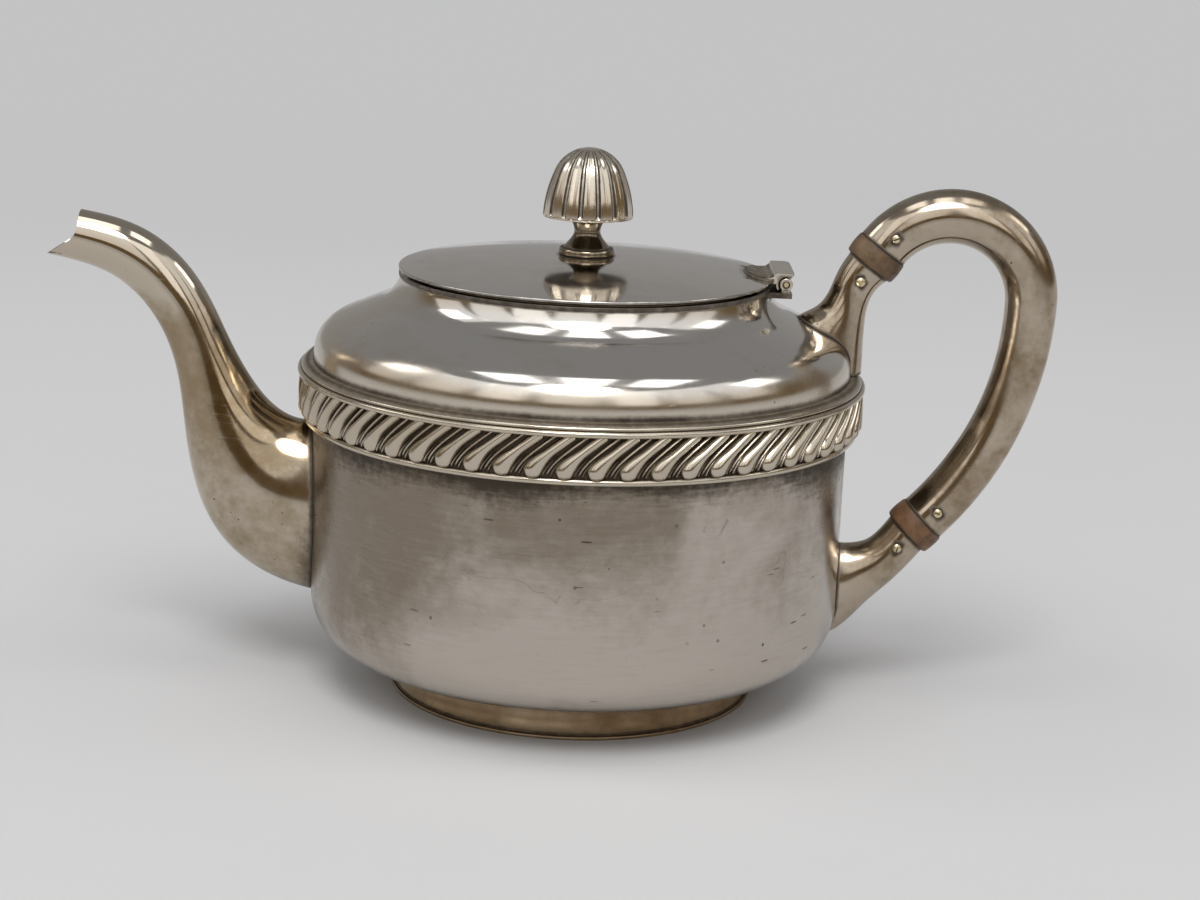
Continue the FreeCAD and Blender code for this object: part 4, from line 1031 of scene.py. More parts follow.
def lobeSize(share):
    # a lobe's half width and rise along its length: fat at the foot, slim at the tail
    s = borderShape
    ends = roundFoot(share, s["footEnd"]) * roundTip(share, s["tipFrom"])
    slim = min(max((share - s["slimFrom"]) / s["slimOver"], 0.0), 1.0)
    width = s["fat"] + (s["tail"] - s["fat"]) * slim * slim * (3 - 2 * slim)
    rise = s["fatRise"] + (s["tailRise"] - s["fatRise"]) * share
    return max(width * ends, s["least"]), max(rise * ends, s["least"])


def reedSize(share):
    s = borderShape
    shaped = (s["reedThin"] + s["reedMore"] * share) * min(1.0, share / s["reedFoot"])
    width = max(s["reed"] * shaped * roundTip(share, s["reedTip"]), s["least"])
    return width, s["reedRise"] * width / s["reed"]


def sideReedSize(share):
    s = borderShape
    width = max(s["sideReed"] * min(1.0, share / s["reedFoot"]) * roundTip(share), s["least"])
    return width, s["sideRise"] * width / s["sideReed"]


def lobeShape(start, sizeAt, sidestep, first, last, alongSteps, acrossSteps):
    # a raised teardrop that stands up at its foot and leans over towards its tail
    s = borderShape
    span = s["high"] - s["low"]
    rings = []
    for k in range(alongSteps + 1):
        share = first + (last - first) * (0.5 - 0.5 * math.cos(math.pi * k / alongSteps))
        up = s["low"] - s["under"] + (span + s["over"]) * share
        over = span * share * (s["start"] + s["bend"] * share - s["ease"] * share ** 2) + sidestep
        slope = span * (s["start"] + 2 * s["bend"] * share - 3 * s["ease"] * share ** 2)
        aside = Vector((span, -slope)).normalized()  # across the lobe, on the unrolled band
        width, rise = sizeAt((share - first) / (last - first))
        turns = [math.pi * a / acrossSteps for a in range(acrossSteps + 1)]
        ring = [(width * math.cos(turn), rise * math.sin(turn)) for turn in turns]
        ring += [(-width, -s["sink"]), (width, -s["sink"])]
        bent = []
        for across, out in ring:
            turn = start + (over + aside.x * across) / s["band"]
            radius = s["band"] + out
            bent.append((radius * math.cos(turn), radius * math.sin(turn), up + aside.y * across))
        rings.append(bent)
    return capped(rings)


def makeBorder():
    s = borderShape
    low, high, band = s["low"], s["high"], s["band"]

    def beadOf(name):
        *circle, half, steps = s[name]
        return arcOf(*circle, -half, half, steps)

    loop = [(s["inside"], pot["beltFoot"]), (s["lowEdge"], pot["beltFoot"])] + beadOf("lowBead")
    heights = [low + (high - low) * k / s["bandRows"] for k in range(s["bandRows"])]
    loop += [(s["lowEdge"], low)] + [(band, z) for z in heights]
    loop += [(band, high), (s["highEdge"], high)] + beadOf("highBead") + [s["valley"]]
    loop += beadOf("topBead") + s["crest"] + [(s["inside"], pot["beltTop"])]
    pitch = 2 * math.pi / s["lobes"]
    between = s["shift"] + pitch * band / 2
    shapes = [spun(loop, s["around"])]
    for k in range(s["lobes"]):
        turn = k * pitch
        shapes.append(lobeShape(turn, lobeSize, s["shift"], s["lobeFrom"], s["lobeTo"], *s["lobeSteps"]))
        shapes.append(lobeShape(turn, reedSize, between, s["reedFrom"], s["lobeTo"], *s["reedSteps"]))
        for side in (-s["sideStep"], s["sideStep"]):
            place = between + side
            shapes.append(lobeShape(turn, sideReedSize, place, s["reedFrom"], s["sideTo"], *s["sideSteps"]))

    def soilAt(x, y, z):
        radius = math.hypot(x, y)
        if low - s["bandUnder"] < z < high + s["bandOver"]:
            bare = min(max((radius - band - s["soilRise"]) / s["soilFade"], 0.0), 1.0)
            return s["bandSoil"] - s["bandSoil"] * bare
        if z < low:
            return s["footSoil"] * near(radius - s["footX"], s["footReach"])
        reachX, reachZ = s["valleyReach"]
        valley = near(z - s["valleyZ"], reachZ) * near(radius - s["valleyX"], reachX)
        crest = s["bandSoil"] * near(max(z - s["crestZ"], 0.0) - s["crestUp"], s["crestReach"])
        return max(valley, crest if z > s["crestFrom"] else 0.0)

    addPiece("gadroonBelt", joined(*shapes), "pot", castSilver, ["gadroon_border"], soilAt,
             sharp=s["sharp"])


makeBorder()
print("border made")


# mouth ring, lid, bezel

mouthShape = {
    "outside": 49.61, "low": 112.2, "high": 113.3, "lip": 47.89, "inside": 46.59, "lipLow": 109.0,
    "round": 0.3, "roundLow": 0.2, "rimSoil": 0.75, "rimX": 49.0, "rimZ": 113.25, "soil": 0.25,
}
lidShape = {
    "radius": 49.76, "under": 113.6, "edge": 114.8, "top": 118.7, "seat": 6.0, "hole": 1.6, "wall": 1.2,
    "roundLow": 0.25, "roundHigh": 0.35, "rim": 0.8, "rows": 26, "underRows": (8.0, 15.0, 22.0, 29.0, 36.0),
    "around": 320, "underSoil": 0.24, "skin": 0.6, "knobSoil": 0.8, "knob": 7.6, "knobReach": 0.7,
    "edgeSoil": 0.35, "edgeReach": 0.5,
    "hingeSoil": 0.8, "hingeX": 42.2, "hingeHalf": 10.6, "hingeReach": 0.9,
}
bezelShape = {"radius": 45.99, "wall": 1.1, "depth": 4.7, "round": 0.3, "around": 192, "soil": 0.24}


def makeMouth():
    s = mouthShape
    soft = s["round"]
    loop = softened([
        (s["outside"], s["low"], s["roundLow"]), (s["outside"], s["high"], soft),
        (s["inside"], s["high"], soft), (s["inside"], s["lipLow"], soft),
        (s["lip"], s["lipLow"], soft), (s["lip"], s["low"]),
    ])

    def soilAt(x, y, z):
        return s["rimSoil"] if z < s["rimZ"] and math.hypot(x, y) > s["rimX"] else s["soil"]

    addPiece("mouthRing", spun(loop), "pot", shoulderSilver, ["mouth_ring"], soilAt)


def lidHeight(radius):
    # the lid's crown is part of a large ball
    s = lidShape
    crown = s["top"] - s["edge"]
    ball = (s["radius"] ** 2 + crown ** 2) / (2 * crown)
    return s["top"] - ball + math.sqrt(ball ** 2 - radius ** 2)


def makeLid():
    s = lidShape
    outer = s["radius"] - s["rim"]
    seatX = s["radius"] - s["seat"]
    steps = [outer - (outer - s["hole"]) * k / s["rows"] for k in range(s["rows"] + 1)]
    top = [(r, lidHeight(r)) for r in steps]
    low, high = (s["radius"], s["under"], s["roundLow"]), (s["radius"], s["edge"], s["roundHigh"])
    loop = softened([low, high, top[0]])[:-1] + top
    loop += [(r, lidHeight(r) - s["wall"]) for r in (s["hole"], *s["underRows"], seatX)]
    loop += [(seatX, s["under"])]

    def soilAt(x, y, z):
        radius = math.hypot(x, y)
        if z < lidHeight(radius) - s["skin"]:
            return s["underSoil"]
        knob = s["knobSoil"] * fadeAbove(radius, s["knob"], s["knobReach"])
        edge = s["edgeSoil"] * near(s["radius"] - radius, s["edgeReach"])
        across = fadeAbove(abs(y), s["hingeHalf"], s["hingeReach"])
        hinge = s["hingeSoil"] * fadeBelow(x, s["hingeX"], s["hingeReach"]) * across
        return max(knob, edge, hinge)

    addPiece("lidPlate", spun(loop, s["around"]), "lid", lidSilver, ["lid_plate"], soilAt)


def makeBezel():
    s = bezelShape
    high = lidShape["under"]
    low = high - s["depth"]
    inside = s["radius"] - s["wall"]
    soft = s["round"]
    loop = softened([(s["radius"], low, soft), (s["radius"], high), (inside, high), (inside, low, soft)])
    addPiece("lidBezel", spun(loop, s["around"]), "lid", lidSilver, ["lid_bezel"],
             lambda x, y, z: s["soil"])


makeMouth()
makeLid()
makeBezel()
print("mouth, lid and bezel made")


# knob: waisted stem and fluted dome

stemShape = {
    "low": 118.7, "collar": 7.0, "bead": 1.25, "collarHigh": 2.0, "hole": 1.6, "top": 128.9, "shelf": 6.75,
    "waist": [
        (6.35, 120.7), (5.55, 121.6), (4.6, 122.7), (3.8, 123.9), (3.5, 125.1), (3.75, 126.5), (4.4, 127.8),
        (5.2, 128.9),
    ],
    "beadSteps": 10, "waistRows": 28, "around": 128,
    "shelfSoil": 0.85, "shelfReach": 0.35, "waistSoil": 0.35, "waistMiddle": 125.0, "waistReach": 3.6,
    "beadSoil": 0.1, "beadOver": 0.1, "footSoil": 0.75, "footReach": 0.3, "topSoil": 0.9, "topReach": 0.9,
}
domeShape = {
    "low": 128.9, "radius": 12.07, "rim": 0.5, "curve": 33.4, "lean": 3.0, "turnIn": 24.0, "hole": 1.6,
    "holeTop": 138.0, "rows": 40, "topTurn": 89.0, "underRows": (6.0, 11.4),
    "rimRows": ((0.12, 0.05), (0.0, 0.2)),  # inwards from the radius and up from the foot
    "flutes": 16, "deep": 0.62, "wide": 0.68, "belly": 0.16, "phase": -77.0, "perFlute": 28, "crowd": 1.45,
    "footGap": 0.3, "footRound": 0.7, "plain": 2.3, "fade": 1.6, "least": 0.05, "wideLeast": 0.5,
    "sharp": 60,
    "edgeSoil": 1.05, "edgeAt": 0.85, "edgeReach": 0.35, "grooveSoil": 0.5, "soil": 0.85,
    "underSoil": 0.8, "underHigh": 0.25, "underX": 11.8, "boreX": 2.0, "boreTop": 139.0,
}


def makeStem():
    s = stemShape
    half = s["collarHigh"] / 2
    high = s["low"] + s["collarHigh"]
    spread = math.asin(half / s["bead"])
    beadX, turn = s["collar"] - s["bead"] * math.cos(spread), math.degrees(spread)
    bead = arcOf(beadX, s["low"] + half, s["bead"], -turn, turn, s["beadSteps"])
    at = smoothCurve([z for _, z in s["waist"]], [r for r, _ in s["waist"]])
    heights = [high + (s["top"] - high) * k / s["waistRows"] for k in range(s["waistRows"] + 1)]
    waist = [(float(at(height)), height) for height in heights]
    loop = [(s["hole"], s["low"])] + bead + [(s["shelf"], high)] + waist + [(s["hole"], s["top"])]

    def soilAt(x, y, z):
        shelf = s["shelfSoil"] * near(z - high, s["shelfReach"]) if math.hypot(x, y) < s["collar"] else 0.0
        waist = s["waistSoil"] * near(z - s["waistMiddle"], s["waistReach"])
        if z <= high + s["beadOver"]:
            waist = s["beadSoil"]
        foot = s["footSoil"] * near(z - s["low"], s["footReach"])
        return max(waist, shelf, foot, s["topSoil"] * near(z - s["top"], s["topReach"]))

    addPiece("knobStem", spun(loop, s["around"]), "lid", stemSilver, ["finial_stem"], soilAt)


def makeDome():
    s = domeShape
    base = s["low"] + s["rim"]
    lean, turnIn = math.radians(s["lean"]), math.radians(s["turnIn"])
    sideX, sideZ = s["radius"] - s["curve"] * math.cos(lean), base - s["curve"] * math.sin(lean)
    side = arcOf(sideX, sideZ, s["curve"], s["lean"], s["turnIn"], s["rows"])
    topCurve = side[-1][0] / math.cos(turnIn)
    topZ = side[-1][1] - topCurve * math.sin(turnIn)
    top = arcOf(0.0, topZ, topCurve, s["turnIn"], s["topTurn"], s["rows"])
    line = side + top[1:]
    steps = s["flutes"] * s["perFlute"]
    offsets = []
    for k in range(s["perFlute"]):
        share = k / s["perFlute"] - 0.5
        offsets.append(math.copysign(abs(2 * share) ** s["crowd"] / 2, share))  # closer together in the flute
    turns = [math.radians(s["phase"]) + 2 * math.pi * (flute + offset) / s["flutes"]
             for flute in range(s["flutes"]) for offset in offsets]
    rings, soils = [], []
    for radius, height in line:
        foot = roundFoot(max(height - base - s["footGap"], 0.0), s["footRound"])
        fade = min(max((radius - s["plain"]) / s["fade"], 0.0), 1.0)
        slim = s["wideLeast"] + (1 - s["wideLeast"]) * radius / s["radius"]
        width = max(s["wide"] * slim * foot, s["least"])
        ring = []
        for k, turn in enumerate(turns):
            offset = abs(offsets[k % s["perFlute"]])
            aside = offset * 2 * math.pi / s["flutes"] * radius
            groove = math.sqrt(max(0.0, 1 - (aside / width) ** 2)) * foot * fade
            belly = s["belly"] * (math.sin(math.pi * min(1.0, offset + 0.5)) - 1) * fade
            out = radius - s["deep"] * groove + belly
            ring.append((out * math.cos(turn), out * math.sin(turn), height))
            edge = near(aside - s["edgeAt"] * width, s["edgeReach"] * width) * foot * fade
            soils.append(min(1.0, s["edgeSoil"] * edge + s["grooveSoil"] * groove))
        rings.append(ring)

    def circleAt(radius, height):
        return [(radius * math.cos(turn), radius * math.sin(turn), height) for turn in turns]

    under = [circleAt(s["hole"], s["holeTop"]), circleAt(s["hole"], s["low"])]
    under += [circleAt(radius, s["low"]) for radius in s["underRows"]]
    under += [circleAt(s["radius"] - inwards, s["low"] + up) for inwards, up in s["rimRows"]]
    verts, faces = swept(under + rings)
    capTop, capHole = len(verts), len(verts) + 1
    last = len(verts) - steps
    verts += [(0.0, 0.0, top[-1][1]), (0.0, 0.0, s["holeTop"])]
    for k in range(steps):
        j = (k + 1) % steps
        faces.append((last + k, last + j, capTop))
        faces.append((j, k, capHole))
    grooves = treeOf([point for ring in rings for point in ring])

    def soilAt(x, y, z):
        radius = math.hypot(x, y)
        isUnder = z < s["low"] + s["underHigh"] and radius < s["underX"]
        isBore = radius < s["boreX"] and z < s["boreTop"]
        return s["underSoil"] if isUnder or isBore else s["soil"] * soils[grooves.find((x, y, z))[1]]

    addPiece("knobDome", (verts, faces), "lid", knobSilver, ["finial_dome"], soilAt,
             sharp=s["sharp"])


makeStem()
makeDome()
for node in ("finial_stud", "finial_washer", "finial_nut"):
    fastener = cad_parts[node].data
    fastener.materials.clear()
    fastener.materials.append(pinBrass)
print("knob made")


# hinge

hingeShape = {
    "x": 52.7095, "z": 114.4, "knuckle": 1.75, "bore": 0.95, "width": 22.0, "centre": 7.4, "gap": 0.3,
    "boreRound": 0.12, "knuckleRound": 0.3, "knuckleHold": 0.2, "knuckleSteps": 48,
    "softEdge": 0.12, "sharp": 40,
    "hoodIn": 2.1, "hoodWall": 0.85, "hoodReach": 2.15, "hoodStart": 56.0, "floor": 114.9, "webLeft": 49.45,
    "hoodLip": 0.5, "lipDrop": 0.12, "crest": 0.9, "heel": 0.25,
    "archSteps": 26, "backSteps": 6, "wrapSteps": 8,
    "hoodRound": 0.75, "hoodCorner": 2.6, "cornerStep": 15,  # its back corners are rounded off
    "wrapWall": 0.5, "wrapEnd": 212.0,  # the hood curls on round the knuckles' inner side
    "tongueLeft": 42.1, "tuck": 0.6, "tongueRise": 0.9, "tongueSink": 0.2, "tongueSquare": 2.3,
    "tongueRows": 84, "tongueCells": 18, "crowd": 1.3, "tipEdge": 0.8, "sideEdge": 0.6, "edgeDrop": 0.5,
    "sideGap": 0.02, "lidRim": 0.1, "reeds": 7, "reedRise": 0.24,
    "flareRise": 1.25, "flareRun": 2.3, "flareEnd": 0.3,  # the tongue sweeps up into the hood
    "webHalf": 0.87, "webLow": 1.2, "webHigh": 2.4,  # between the centre knuckle and the hood
    "baseRight": 54.41, "baseTop": 112.15, "plate": 1.4, "plateRows": 24, "plateCells": 6, "plateSink": 0.4,
    "neck": 1.2, "neckSink": 0.1, "neckTop": -1.1,  # under the outer knuckles
    "pin": 0.9, "pinGap": 0.05, "pinLength": 21.4, "pinRound": 0.3, "pinHold": 0.1, "pinSteps": 32,
    "tongueSoil": 0.62, "grooveSoil": 0.35, "grooveDown": 0.15, "grooveReach": 0.12, "footSoil": 0.2,
    "footReach": 0.6, "throatSoil": 0.75, "throatSkin": 0.1, "hoodSoil": 0.12,
    "boreSoil": 0.7, "boreSkin": 1.05, "bracketSoil": 0.2, "plateSoil": 0.55, "plateReach": 0.6,
    "pinEdgeSoil": 0.55, "pinEdge": 0.6, "pinSoil": 0.25,
}


def acrossHinge(loop, left, right):
    # an outline in x and z, drawn across the hinge from one y to another
    return capped([[(x, y, z) for x, z in loop] for y in (left, right)])


def blockAcross(half, low, high, left, right):
    x = hingeShape["x"]
    return acrossHinge([(x - half, low), (x + half, low), (x + half, high), (x - half, high)], left, right)


def knuckleTube(left, right, radius, bore):
    s = hingeShape
    inner, outer = s["boreRound"], s["knuckleRound"]
    corners = [(bore, left, inner), (radius, left, outer), (radius, right, outer), (bore, right, inner)]
    loop = softened(corners, s["knuckleHold"])
    return turnedShape(spun(loop, s["knuckleSteps"]), layAt(s["x"], s["z"], -90, "X"))


def hoodShape():
    s = hingeShape
    top = s["z"] + s["hoodIn"] + s["hoodWall"]
    outside = s["hoodIn"] + s["wrapWall"]
    footAngle = 180 - math.degrees(math.asin((s["floor"] - s["z"]) / outside))
    arch = arcOf(s["x"], s["z"], s["hoodIn"], s["wrapEnd"], s["hoodStart"], s["archSteps"])
    lip = s["x"] + s["hoodReach"]
    back = [(s["x"] + s["crest"], top)]
    wall = s["hoodWall"]
    back += arcOf(s["webLeft"] + wall, top - wall, wall, 90, 180, s["backSteps"])
    back += [(s["webLeft"] + s["heel"], s["floor"])]
    back += arcOf(s["x"], s["z"], outside, footAngle, s["wrapEnd"], s["wrapSteps"])
    turns = [(-1, turn) for turn in range(0, 91, s["cornerStep"])]
    rings = []
    for side, turn in turns + [(1, turn) for _, turn in reversed(turns)]:
        y = side * (s["width"] / 2 - s["hoodCorner"] * (1 - math.cos(math.radians(turn))))
        end = lip - s["hoodRound"] * (1 - math.sin(math.radians(turn)))
        loop = arch + [(end, top - s["hoodLip"] - s["lipDrop"]), (end, top - s["lipDrop"])] + back
        rings.append([(x, y, z) for x, z in loop])
    return capped(rings)


def tongueShape():
    # the reeded tongue lies on the lid and sweeps up into the hood
    s = hingeShape
    half = s["width"] / 2
    right = s["webLeft"] + s["tuck"]
    rows, cells = s["tongueRows"], s["tongueCells"]
    upper, lower = [], []
    for row in range(rows + 1):
        y = (half - s["sideGap"]) * (2 * row / rows - 1)
        blunt = (1 - (abs(y) / half) ** s["tongueSquare"]) ** (1 / s["tongueSquare"])
        left = s["tongueLeft"] + (right - s["tongueLeft"]) * (1 - blunt)
        for cell in range(cells + 1):
            x = left + (right - left) * (cell / cells) ** s["crowd"]
            edge = min(1.0, (x - left) / s["tipEdge"]) * min(1.0, (half - abs(y)) / s["sideEdge"])
            reed = s["reedRise"] * (abs(math.sin(math.pi * s["reeds"] * (y / half) / 2)) - 0.5) * edge
            under = lidHeight(min(math.hypot(x, y), lidShape["radius"] - s["lidRim"]))
            flare = s["flareRise"] * max(0.0, 1 - (s["webLeft"] + s["flareEnd"] - x) / s["flareRun"]) ** 2
            rise = s["tongueRise"] + min(flare, s["flareRise"]) - s["edgeDrop"] * (1 - edge) ** 2 + reed
            upper.append((x, y, under + rise))
            lower.append((x, y, under - s["tongueSink"]))
    return slab(upper, lower, cells + 1)


def makeLeaf():
    s = hingeShape
    middle = s["centre"] / 2
    web = blockAcross(s["webHalf"], s["z"] + s["webLow"], s["z"] + s["webHigh"], -middle, middle)
    knuckle = knuckleTube(-middle, middle, s["knuckle"], s["bore"])

    def soilAt(x, y, z):
        if x < s["webLeft"] - s["throatSkin"]:
            low = z - lidHeight(math.hypot(x, y)) - s["tongueRise"]
            grooves = s["grooveSoil"] * near(low + s["grooveDown"], s["grooveReach"])
            # the tongue's even darkening is a painted dark reflection; its grooves and its foot hold dirt
            return s["tongueSoil"] + grooves + s["footSoil"] * near(x - s["webLeft"], s["footReach"])
        # painted shade in the hollow under the hood
        inThroat = math.hypot(x - s["x"], z - s["z"]) < s["hoodIn"] + s["throatSkin"]
        return s["throatSoil"] if inThroat else s["hoodSoil"]

    shape = joined(hoodShape(), tongueShape(), web, knuckle)
    addPiece("hingeLeaf", shape, "lid", hingeSilver, ["hinge_leaf"], soilAt, sharp=s["sharp"],
             bevel=s["softEdge"])


def makeBracket():
    # a plate let into the neck, with the outer knuckles standing on it
    s = hingeShape
    half = s["width"] / 2
    rows, cells = s["plateRows"], s["plateCells"]
    grids = []
    for z in (s["baseTop"], s["baseTop"] - s["plate"]):
        neck = outlineRadius(z) - s["plateSink"]
        grid = []
        for row in range(rows + 1):
            y = half * (2 * row / rows - 1)
            left = math.sqrt(neck ** 2 - y ** 2)
            grid += [(left + (s["baseRight"] - left) * cell / cells, y, z) for cell in range(cells + 1)]
        grids.append(grid)
    shapes = [slab(*grids, cells + 1)]
    inside = s["centre"] / 2 + s["gap"]
    for left, right in ((-half, -inside), (inside, half)):
        shapes.append(knuckleTube(left, right, s["knuckle"], s["pin"] + s["pinGap"]))
        foot, head = s["baseTop"] - s["neckSink"], s["z"] + s["neckTop"]
        shapes.append(blockAcross(s["neck"], foot, head, left, right))

    def soilAt(x, y, z):
        if math.hypot(x - s["x"], z - s["z"]) < s["boreSkin"]:
            return s["boreSoil"]
        return s["bracketSoil"] + s["plateSoil"] * fadeAbove(z, s["baseTop"], s["plateReach"])

    addPiece("hingeBracket", joined(*shapes), "pot", hingeSilver, ["hinge_bracket"], soilAt,
             sharp=s["sharp"], bevel=s["softEdge"])


def makeHingePin():
    s = hingeShape
    length = s["pinLength"] / 2
    pin, soft = s["pin"], s["pinRound"]
    corners = [(0.0, -length), (pin, -length, soft), (pin, length, soft), (0.0, length)]
    shape = turnedShape(spun(softened(corners, s["pinHold"]), s["pinSteps"]), layAt(s["x"], s["z"], -90, "X"))

    def soilAt(x, y, z):
        return s["pinEdgeSoil"] if math.hypot(x - s["x"], z - s["z"]) > s["pinEdge"] else s["pinSoil"]

    addPiece("hingePin", shape, "pot", pinBrass, ["hinge_pin"], soilAt)


makeLeaf()
makeBracket()
makeHingePin()
print("hinge made")


# handle: grip, collars and pins

def makeGrip():
    s = gripShape
    topX, topZ, topBend, topTurn = s["top"]
    sideX, sideZ, sideBend, sideTurn = s["side"]
    path = []
    for middleX, middleZ, bend, start, end, steps in (
        (topX, topZ, topBend, topTurn, 0.0, s["topSteps"]),
        (sideX, sideZ, sideBend, 0.0, sideTurn, s["sideSteps"]),
    ):
        for k in range(steps + 1 if end else steps):
            turn = math.radians(start + (end - start) * k / steps)
            path.append((middleX + bend * math.cos(turn), middleZ + bend * math.sin(turn), turn))
    skins = []
    for thin in (0.0, s["wall"]):
        rings = []
        for n, (x, z, turn) in enumerate(path):
            share = n / (len(path) - 1)
            swell = s["topSwell"] * near(share - s["swellAt"], s["spread"])
            slim = s["sideSlim"] * near(share - s["slimAt"], s["spread"])
            circle = circleOf(s["radius"] + swell - slim - thin, s["around"])
            rings.append([(x + out * math.cos(turn), y, z + out * math.sin(turn)) for out, y in circle])
        skins.append(rings)
    shape = swept(skins[0] + skins[1][::-1], closedAlong=True)

    def soilAt(x, y, z):
        return max(pinSoil(x, y, z), s["endSoil"] * endSoil(x, y, z))

    addPiece("loopGrip", shape, "pot", handleSilver, ["handle_grip"], soilAt)


collarShape = {
    "round": 0.8, "roundSteps": 6, "crown": 0.15, "crownSteps": 8,
    "tenon": 4.3, "tenonLength": 7.5, "around": 96, "soil": 0.7,
}


def makeCollar(end, finish):
    s = collarShape
    length, radius, soft = gripShape["collar"], gripShape["collarRadius"], s["round"]
    turns = [math.pi / 2 * k / s["roundSteps"] for k in range(s["roundSteps"] + 1)]
    ring = [(radius - soft + soft * math.sin(t), soft - soft * math.cos(t)) for t in turns]
    shares = [k / s["crownSteps"] for k in range(1, s["crownSteps"])]
    belly = [(radius + s["crown"] * math.sin(math.pi * t), soft + (length - 2 * soft) * t) for t in shares]
    half = ring + belly + [(r, length - z) for r, z in reversed(ring)]
    loop = [(0.0, -s["tenonLength"]), (s["tenon"], -s["tenonLength"]), (s["tenon"], 0.0)] + half
    loop += [(s["tenon"], length), (s["tenon"], length + s["tenonLength"]), (0.0, length + s["tenonLength"])]
    shape = turnedShape(spun(loop, s["around"]), layAt(*alongEnd(end, -length), gripEnd(end)[2], "Y"))
    addPiece(end + "Collar", shape, "pot", finish, [end + "_insulator"],
             lambda x, y, z: s["soil"] * endSoil(x, y, z))


pinShape = {
    "shank": 1.0, "head": 1.35, "rise": 0.6, "sink": 0.3, "seat": 0.55, "domeSteps": 10, "around": 48,
    "slot": 0.34, "slotDeep": 0.4, "slotLong": 1.3, "slotHigh": 4.0,
    "slotTurn": {"upper_grip": 20.0, "upper_socket": 65.0, "lower_grip": -15.0, "lower_socket": 80.0},
    "soil": 0.75, "soilReach": 0.22,
}


def makeScrewPin(spot):
    # a round-head pin across the tube, slotted, its head towards the front
    s = pinShape
    x, z, radius = pinSpots[spot]
    seat = radius - s["seat"]
    top = seat + s["sink"] + s["rise"]
    curve = (s["head"] ** 2 + s["rise"] ** 2) / (2 * s["rise"])
    spread = math.degrees(math.asin(s["head"] / curve))
    dome = arcOf(0.0, top - curve, curve, 90 - spread, 90, s["domeSteps"])[:-1]
    loop = [(0.0, -seat), (s["shank"], -seat), (s["shank"], seat), (s["head"], seat)] + dome + [(0.0, top)]
    lay = layAt(x, z, 90, "X")

    def soilAt(atX, atY, atZ):
        return s["soil"] * fadeBelow(math.hypot(atX - x, atZ - z), s["head"], s["soilReach"])

    end, held = spot.split("_")
    name, shape = end + held.capitalize() + "Pin", turnedShape(spun(loop, s["around"]), lay)
    piece = addPiece(name, shape, "pot", pinBrass, [spot + "_pin"], soilAt)
    long, wide = s["head"] * s["slotLong"], s["slot"] / 2
    corners = [(-long, -wide), (long, -wide), (long, wide), (-long, wide)]
    levels = (top - s["slotDeep"], seat + s["slotHigh"])
    slot = capped([[(a, b, level) for a, b in corners] for level in levels])
    carve(piece, turnedShape(slot, lay @ Matrix.Rotation(math.radians(s["slotTurn"][spot]), 4, "Z")))


makeGrip()
makeCollar("upper", upperFibre)
makeCollar("lower", lowerFibre)
for spot in pinSpots:
    makeScrewPin(spot)
print("handle made")


# floor, light and camera

studio = {  # lengths in metres
    "floor": (0.62, 0.62, 0.625, 1.0), "floorSize": 60.0, "floorGrain": 0.96,
    "floorRough": 0.85, "grainSize": 6.0,
    "paper": (0.55, 0.55, 0.555, 1.0), "evenFrom": 0.35, "evenTo": 1.5,  # the floor far from the pot
    "brown": (0.165, 0.115, 0.06, 1.0), "back": (0.31, 0.305, 0.30, 1.0), "sky": (0.27, 0.27, 0.275, 1.0),
    "backFrom": 0.25, "backTo": 0.7, "skyFrom": 0.22, "skyTo": 0.62,
    # tall panels round the front: each one's degrees round, width and strength
    "panelRise": 34.0, "panelAway": 2.1, "panelTall": 1.8, "panelAim": (0.0, 0.0, 0.08),
    "panels": [
        (-92, 0.95, 0.66), (-62, 1.0, 0.78), (-34, 0.88, 1.12), (-5, 1.02, 0.84),
        (23, 0.82, 1.2), (49, 0.86, 0.76), (77, 0.92, 0.7),
    ],
    # soft boxes: place, aim, size and strength
    "boxes": [
        ((-2.1, 0.3, 1.8), (0.0, 0.0, 0.08), (0.7, 0.7), 2.4),
        ((2.1, 0.2, 1.8), (0.0, 0.0, 0.08), (0.7, 0.7), 2.4),
        ((-0.75, -0.3, 2.4), (-0.75, -0.3, 0.0), (0.6, 1.1), 2.0),
        ((0.05, -0.35, 2.4), (0.05, -0.35, 0.0), (0.5, 1.0), 2.0),
        ((0.85, -0.3, 2.4), (0.85, -0.3, 0.0), (0.6, 1.1), 2.0),
    ],
    "key": {"rise": 56.0, "turn": -3.0, "angle": 26.0, "strength": 1.25},  # one wide lamp far away
}


def linked(name, data):
    holder = bpy.data.objects.new(name, data)
    bpy.context.scene.collection.objects.link(holder)
    return holder


def addLamp(name, place, aim, size, strength):
    lamp = bpy.data.lights.new(name, "AREA")
    lamp.shape, lamp.size, lamp.size_y = "RECTANGLE", size[0], size[1]
    lamp.energy = strength * math.pi * size[0] * size[1]
    holder = linked(name, lamp)
    holder.location = place
    holder.rotation_euler = (Vector(aim) - Vector(place)).to_track_quat("-Z", "Y").to_euler()


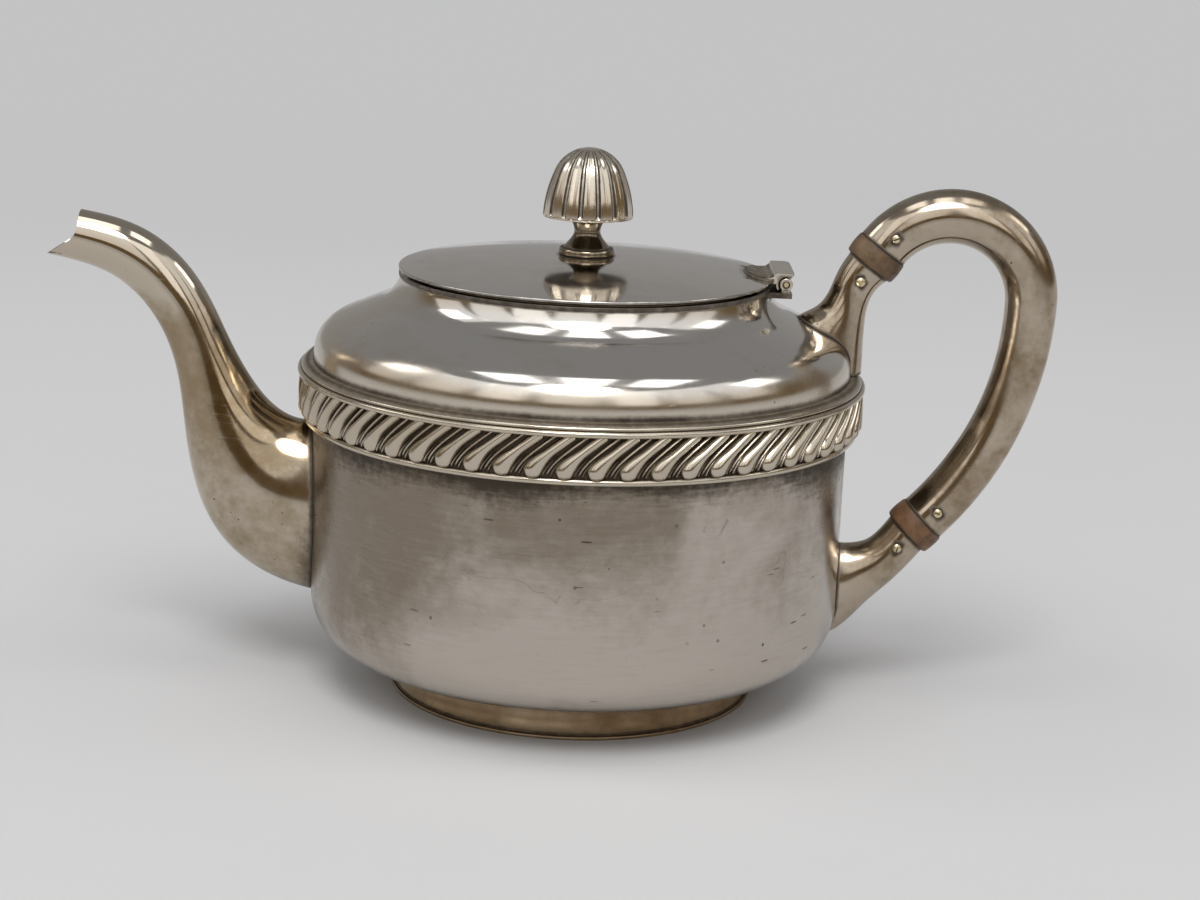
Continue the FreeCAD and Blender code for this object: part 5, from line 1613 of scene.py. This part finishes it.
def makeFloor():
    half = studio["floorSize"]
    mesh = bpy.data.meshes.new("studioFloor")
    corners = [(-half, -half, 0), (half, -half, 0), (half, half, 0), (-half, half, 0)]
    mesh.from_pydata(corners, [], [(0, 1, 2, 3)])
    paper, tree, shader = newFinish("studioPaper")
    grain = noiseOf(tree, objectPlace(tree), studio["grainSize"], detail=5.0, rough=0.6)
    shade = tuple(part * studio["floorGrain"] for part in studio["floor"][:3]) + (1.0,)
    tree.links.new(blendOf(tree, grain, shade, studio["floor"]), shader.inputs["Base Color"])
    shader.inputs["Roughness"].default_value = studio["floorRough"]
    away = addNode(tree, "ShaderNodeVectorMath", {0: objectPlace(tree)}, operation="LENGTH").outputs["Value"]
    light = addNode(tree, "ShaderNodeLightPath").outputs
    seen = mathOf(tree, "MAXIMUM", light["Is Camera Ray"], light["Is Glossy Ray"])
    seen = mathOf(tree, "MAXIMUM", seen, light["Is Transmission Ray"])
    share = timesOf(tree, rangeOf(tree, away, studio["evenFrom"], studio["evenTo"]), seen)
    glow = addNode(tree, "ShaderNodeEmission", {"Color": studio["paper"], "Strength": 1.0})
    even = addNode(tree, "ShaderNodeMixShader", {0: share, 1: shader.outputs[0], 2: glow.outputs[0]})
    tree.links.new(even.outputs[0], tree.nodes["Material Output"].inputs["Surface"])
    mesh.materials.append(paper)
    floor = linked("studioFloor", mesh)


def makeLamps():
    away = studio["panelAway"]
    high = away * math.tan(math.radians(studio["panelRise"]))
    for number, (turn, wide, strength) in enumerate(studio["panels"]):
        place = (away * math.sin(math.radians(turn)), -away * math.cos(math.radians(turn)), high)
        addLamp(f"panel{number}", place, studio["panelAim"], (wide, studio["panelTall"]), strength)
    for number, box in enumerate(studio["boxes"]):
        addLamp(f"softBox{number}", *box)
    key = studio["key"]
    lamp = bpy.data.lights.new("keyLamp", "SUN")
    lamp.energy, lamp.angle = key["strength"], math.radians(key["angle"])
    linked("keyLamp", lamp).rotation_euler = (math.radians(90 - key["rise"]), 0.0, math.radians(key["turn"]))


def makeAir():
    # brown towards the front and sides, grey behind the pot and pale above
    world = bpy.data.worlds.new("studioAir")
    world.use_nodes = True
    bpy.context.scene.world = world
    air = world.node_tree
    way = air.nodes.new("ShaderNodeTexCoord").outputs["Generated"]
    _, y, z = addNode(air, "ShaderNodeSeparateXYZ", {0: way}).outputs
    behind = rangeOf(air, y, studio["backFrom"], studio["backTo"])
    above = rangeOf(air, z, studio["skyFrom"], studio["skyTo"])
    around = blendOf(air, behind, studio["brown"], studio["back"])
    whole = blendOf(air, above, around, studio["sky"])
    air.links.new(whole, air.nodes["Background"].inputs["Color"])


# place in metres, turns in radians
cameraShape = {
    "lens": 74.0, "sensor": 36.0, "place": (0.0, -0.6504, 0.2208),
    "yaw": 0.0088, "pitch": 0.2345, "roll": 0.04075,
}


def makeCamera():
    s = cameraShape
    camera = bpy.data.cameras.new("photoCamera")
    camera.lens, camera.sensor_width = s["lens"], s["sensor"]
    holder = linked("photoCamera", camera)
    yaw, pitch, roll = s["yaw"], s["pitch"], s["roll"]
    flat = math.cos(pitch)
    ahead = Vector((math.sin(yaw) * flat, math.cos(yaw) * flat, -math.sin(pitch)))
    level = Vector((math.cos(yaw), -math.sin(yaw), 0.0))
    upward = level.cross(ahead)
    right = level * math.cos(roll) + upward * math.sin(roll)
    above = upward * math.cos(roll) - level * math.sin(roll)
    turn = Matrix((right, above, -ahead)).transposed()
    holder.matrix_world = Matrix.Translation(s["place"]) @ turn.to_4x4()
    bpy.context.scene.camera = holder


makeFloor()
makeLamps()
makeAir()
makeCamera()
bpy.context.scene.view_settings.view_transform = "Standard"
print("studio and camera made")
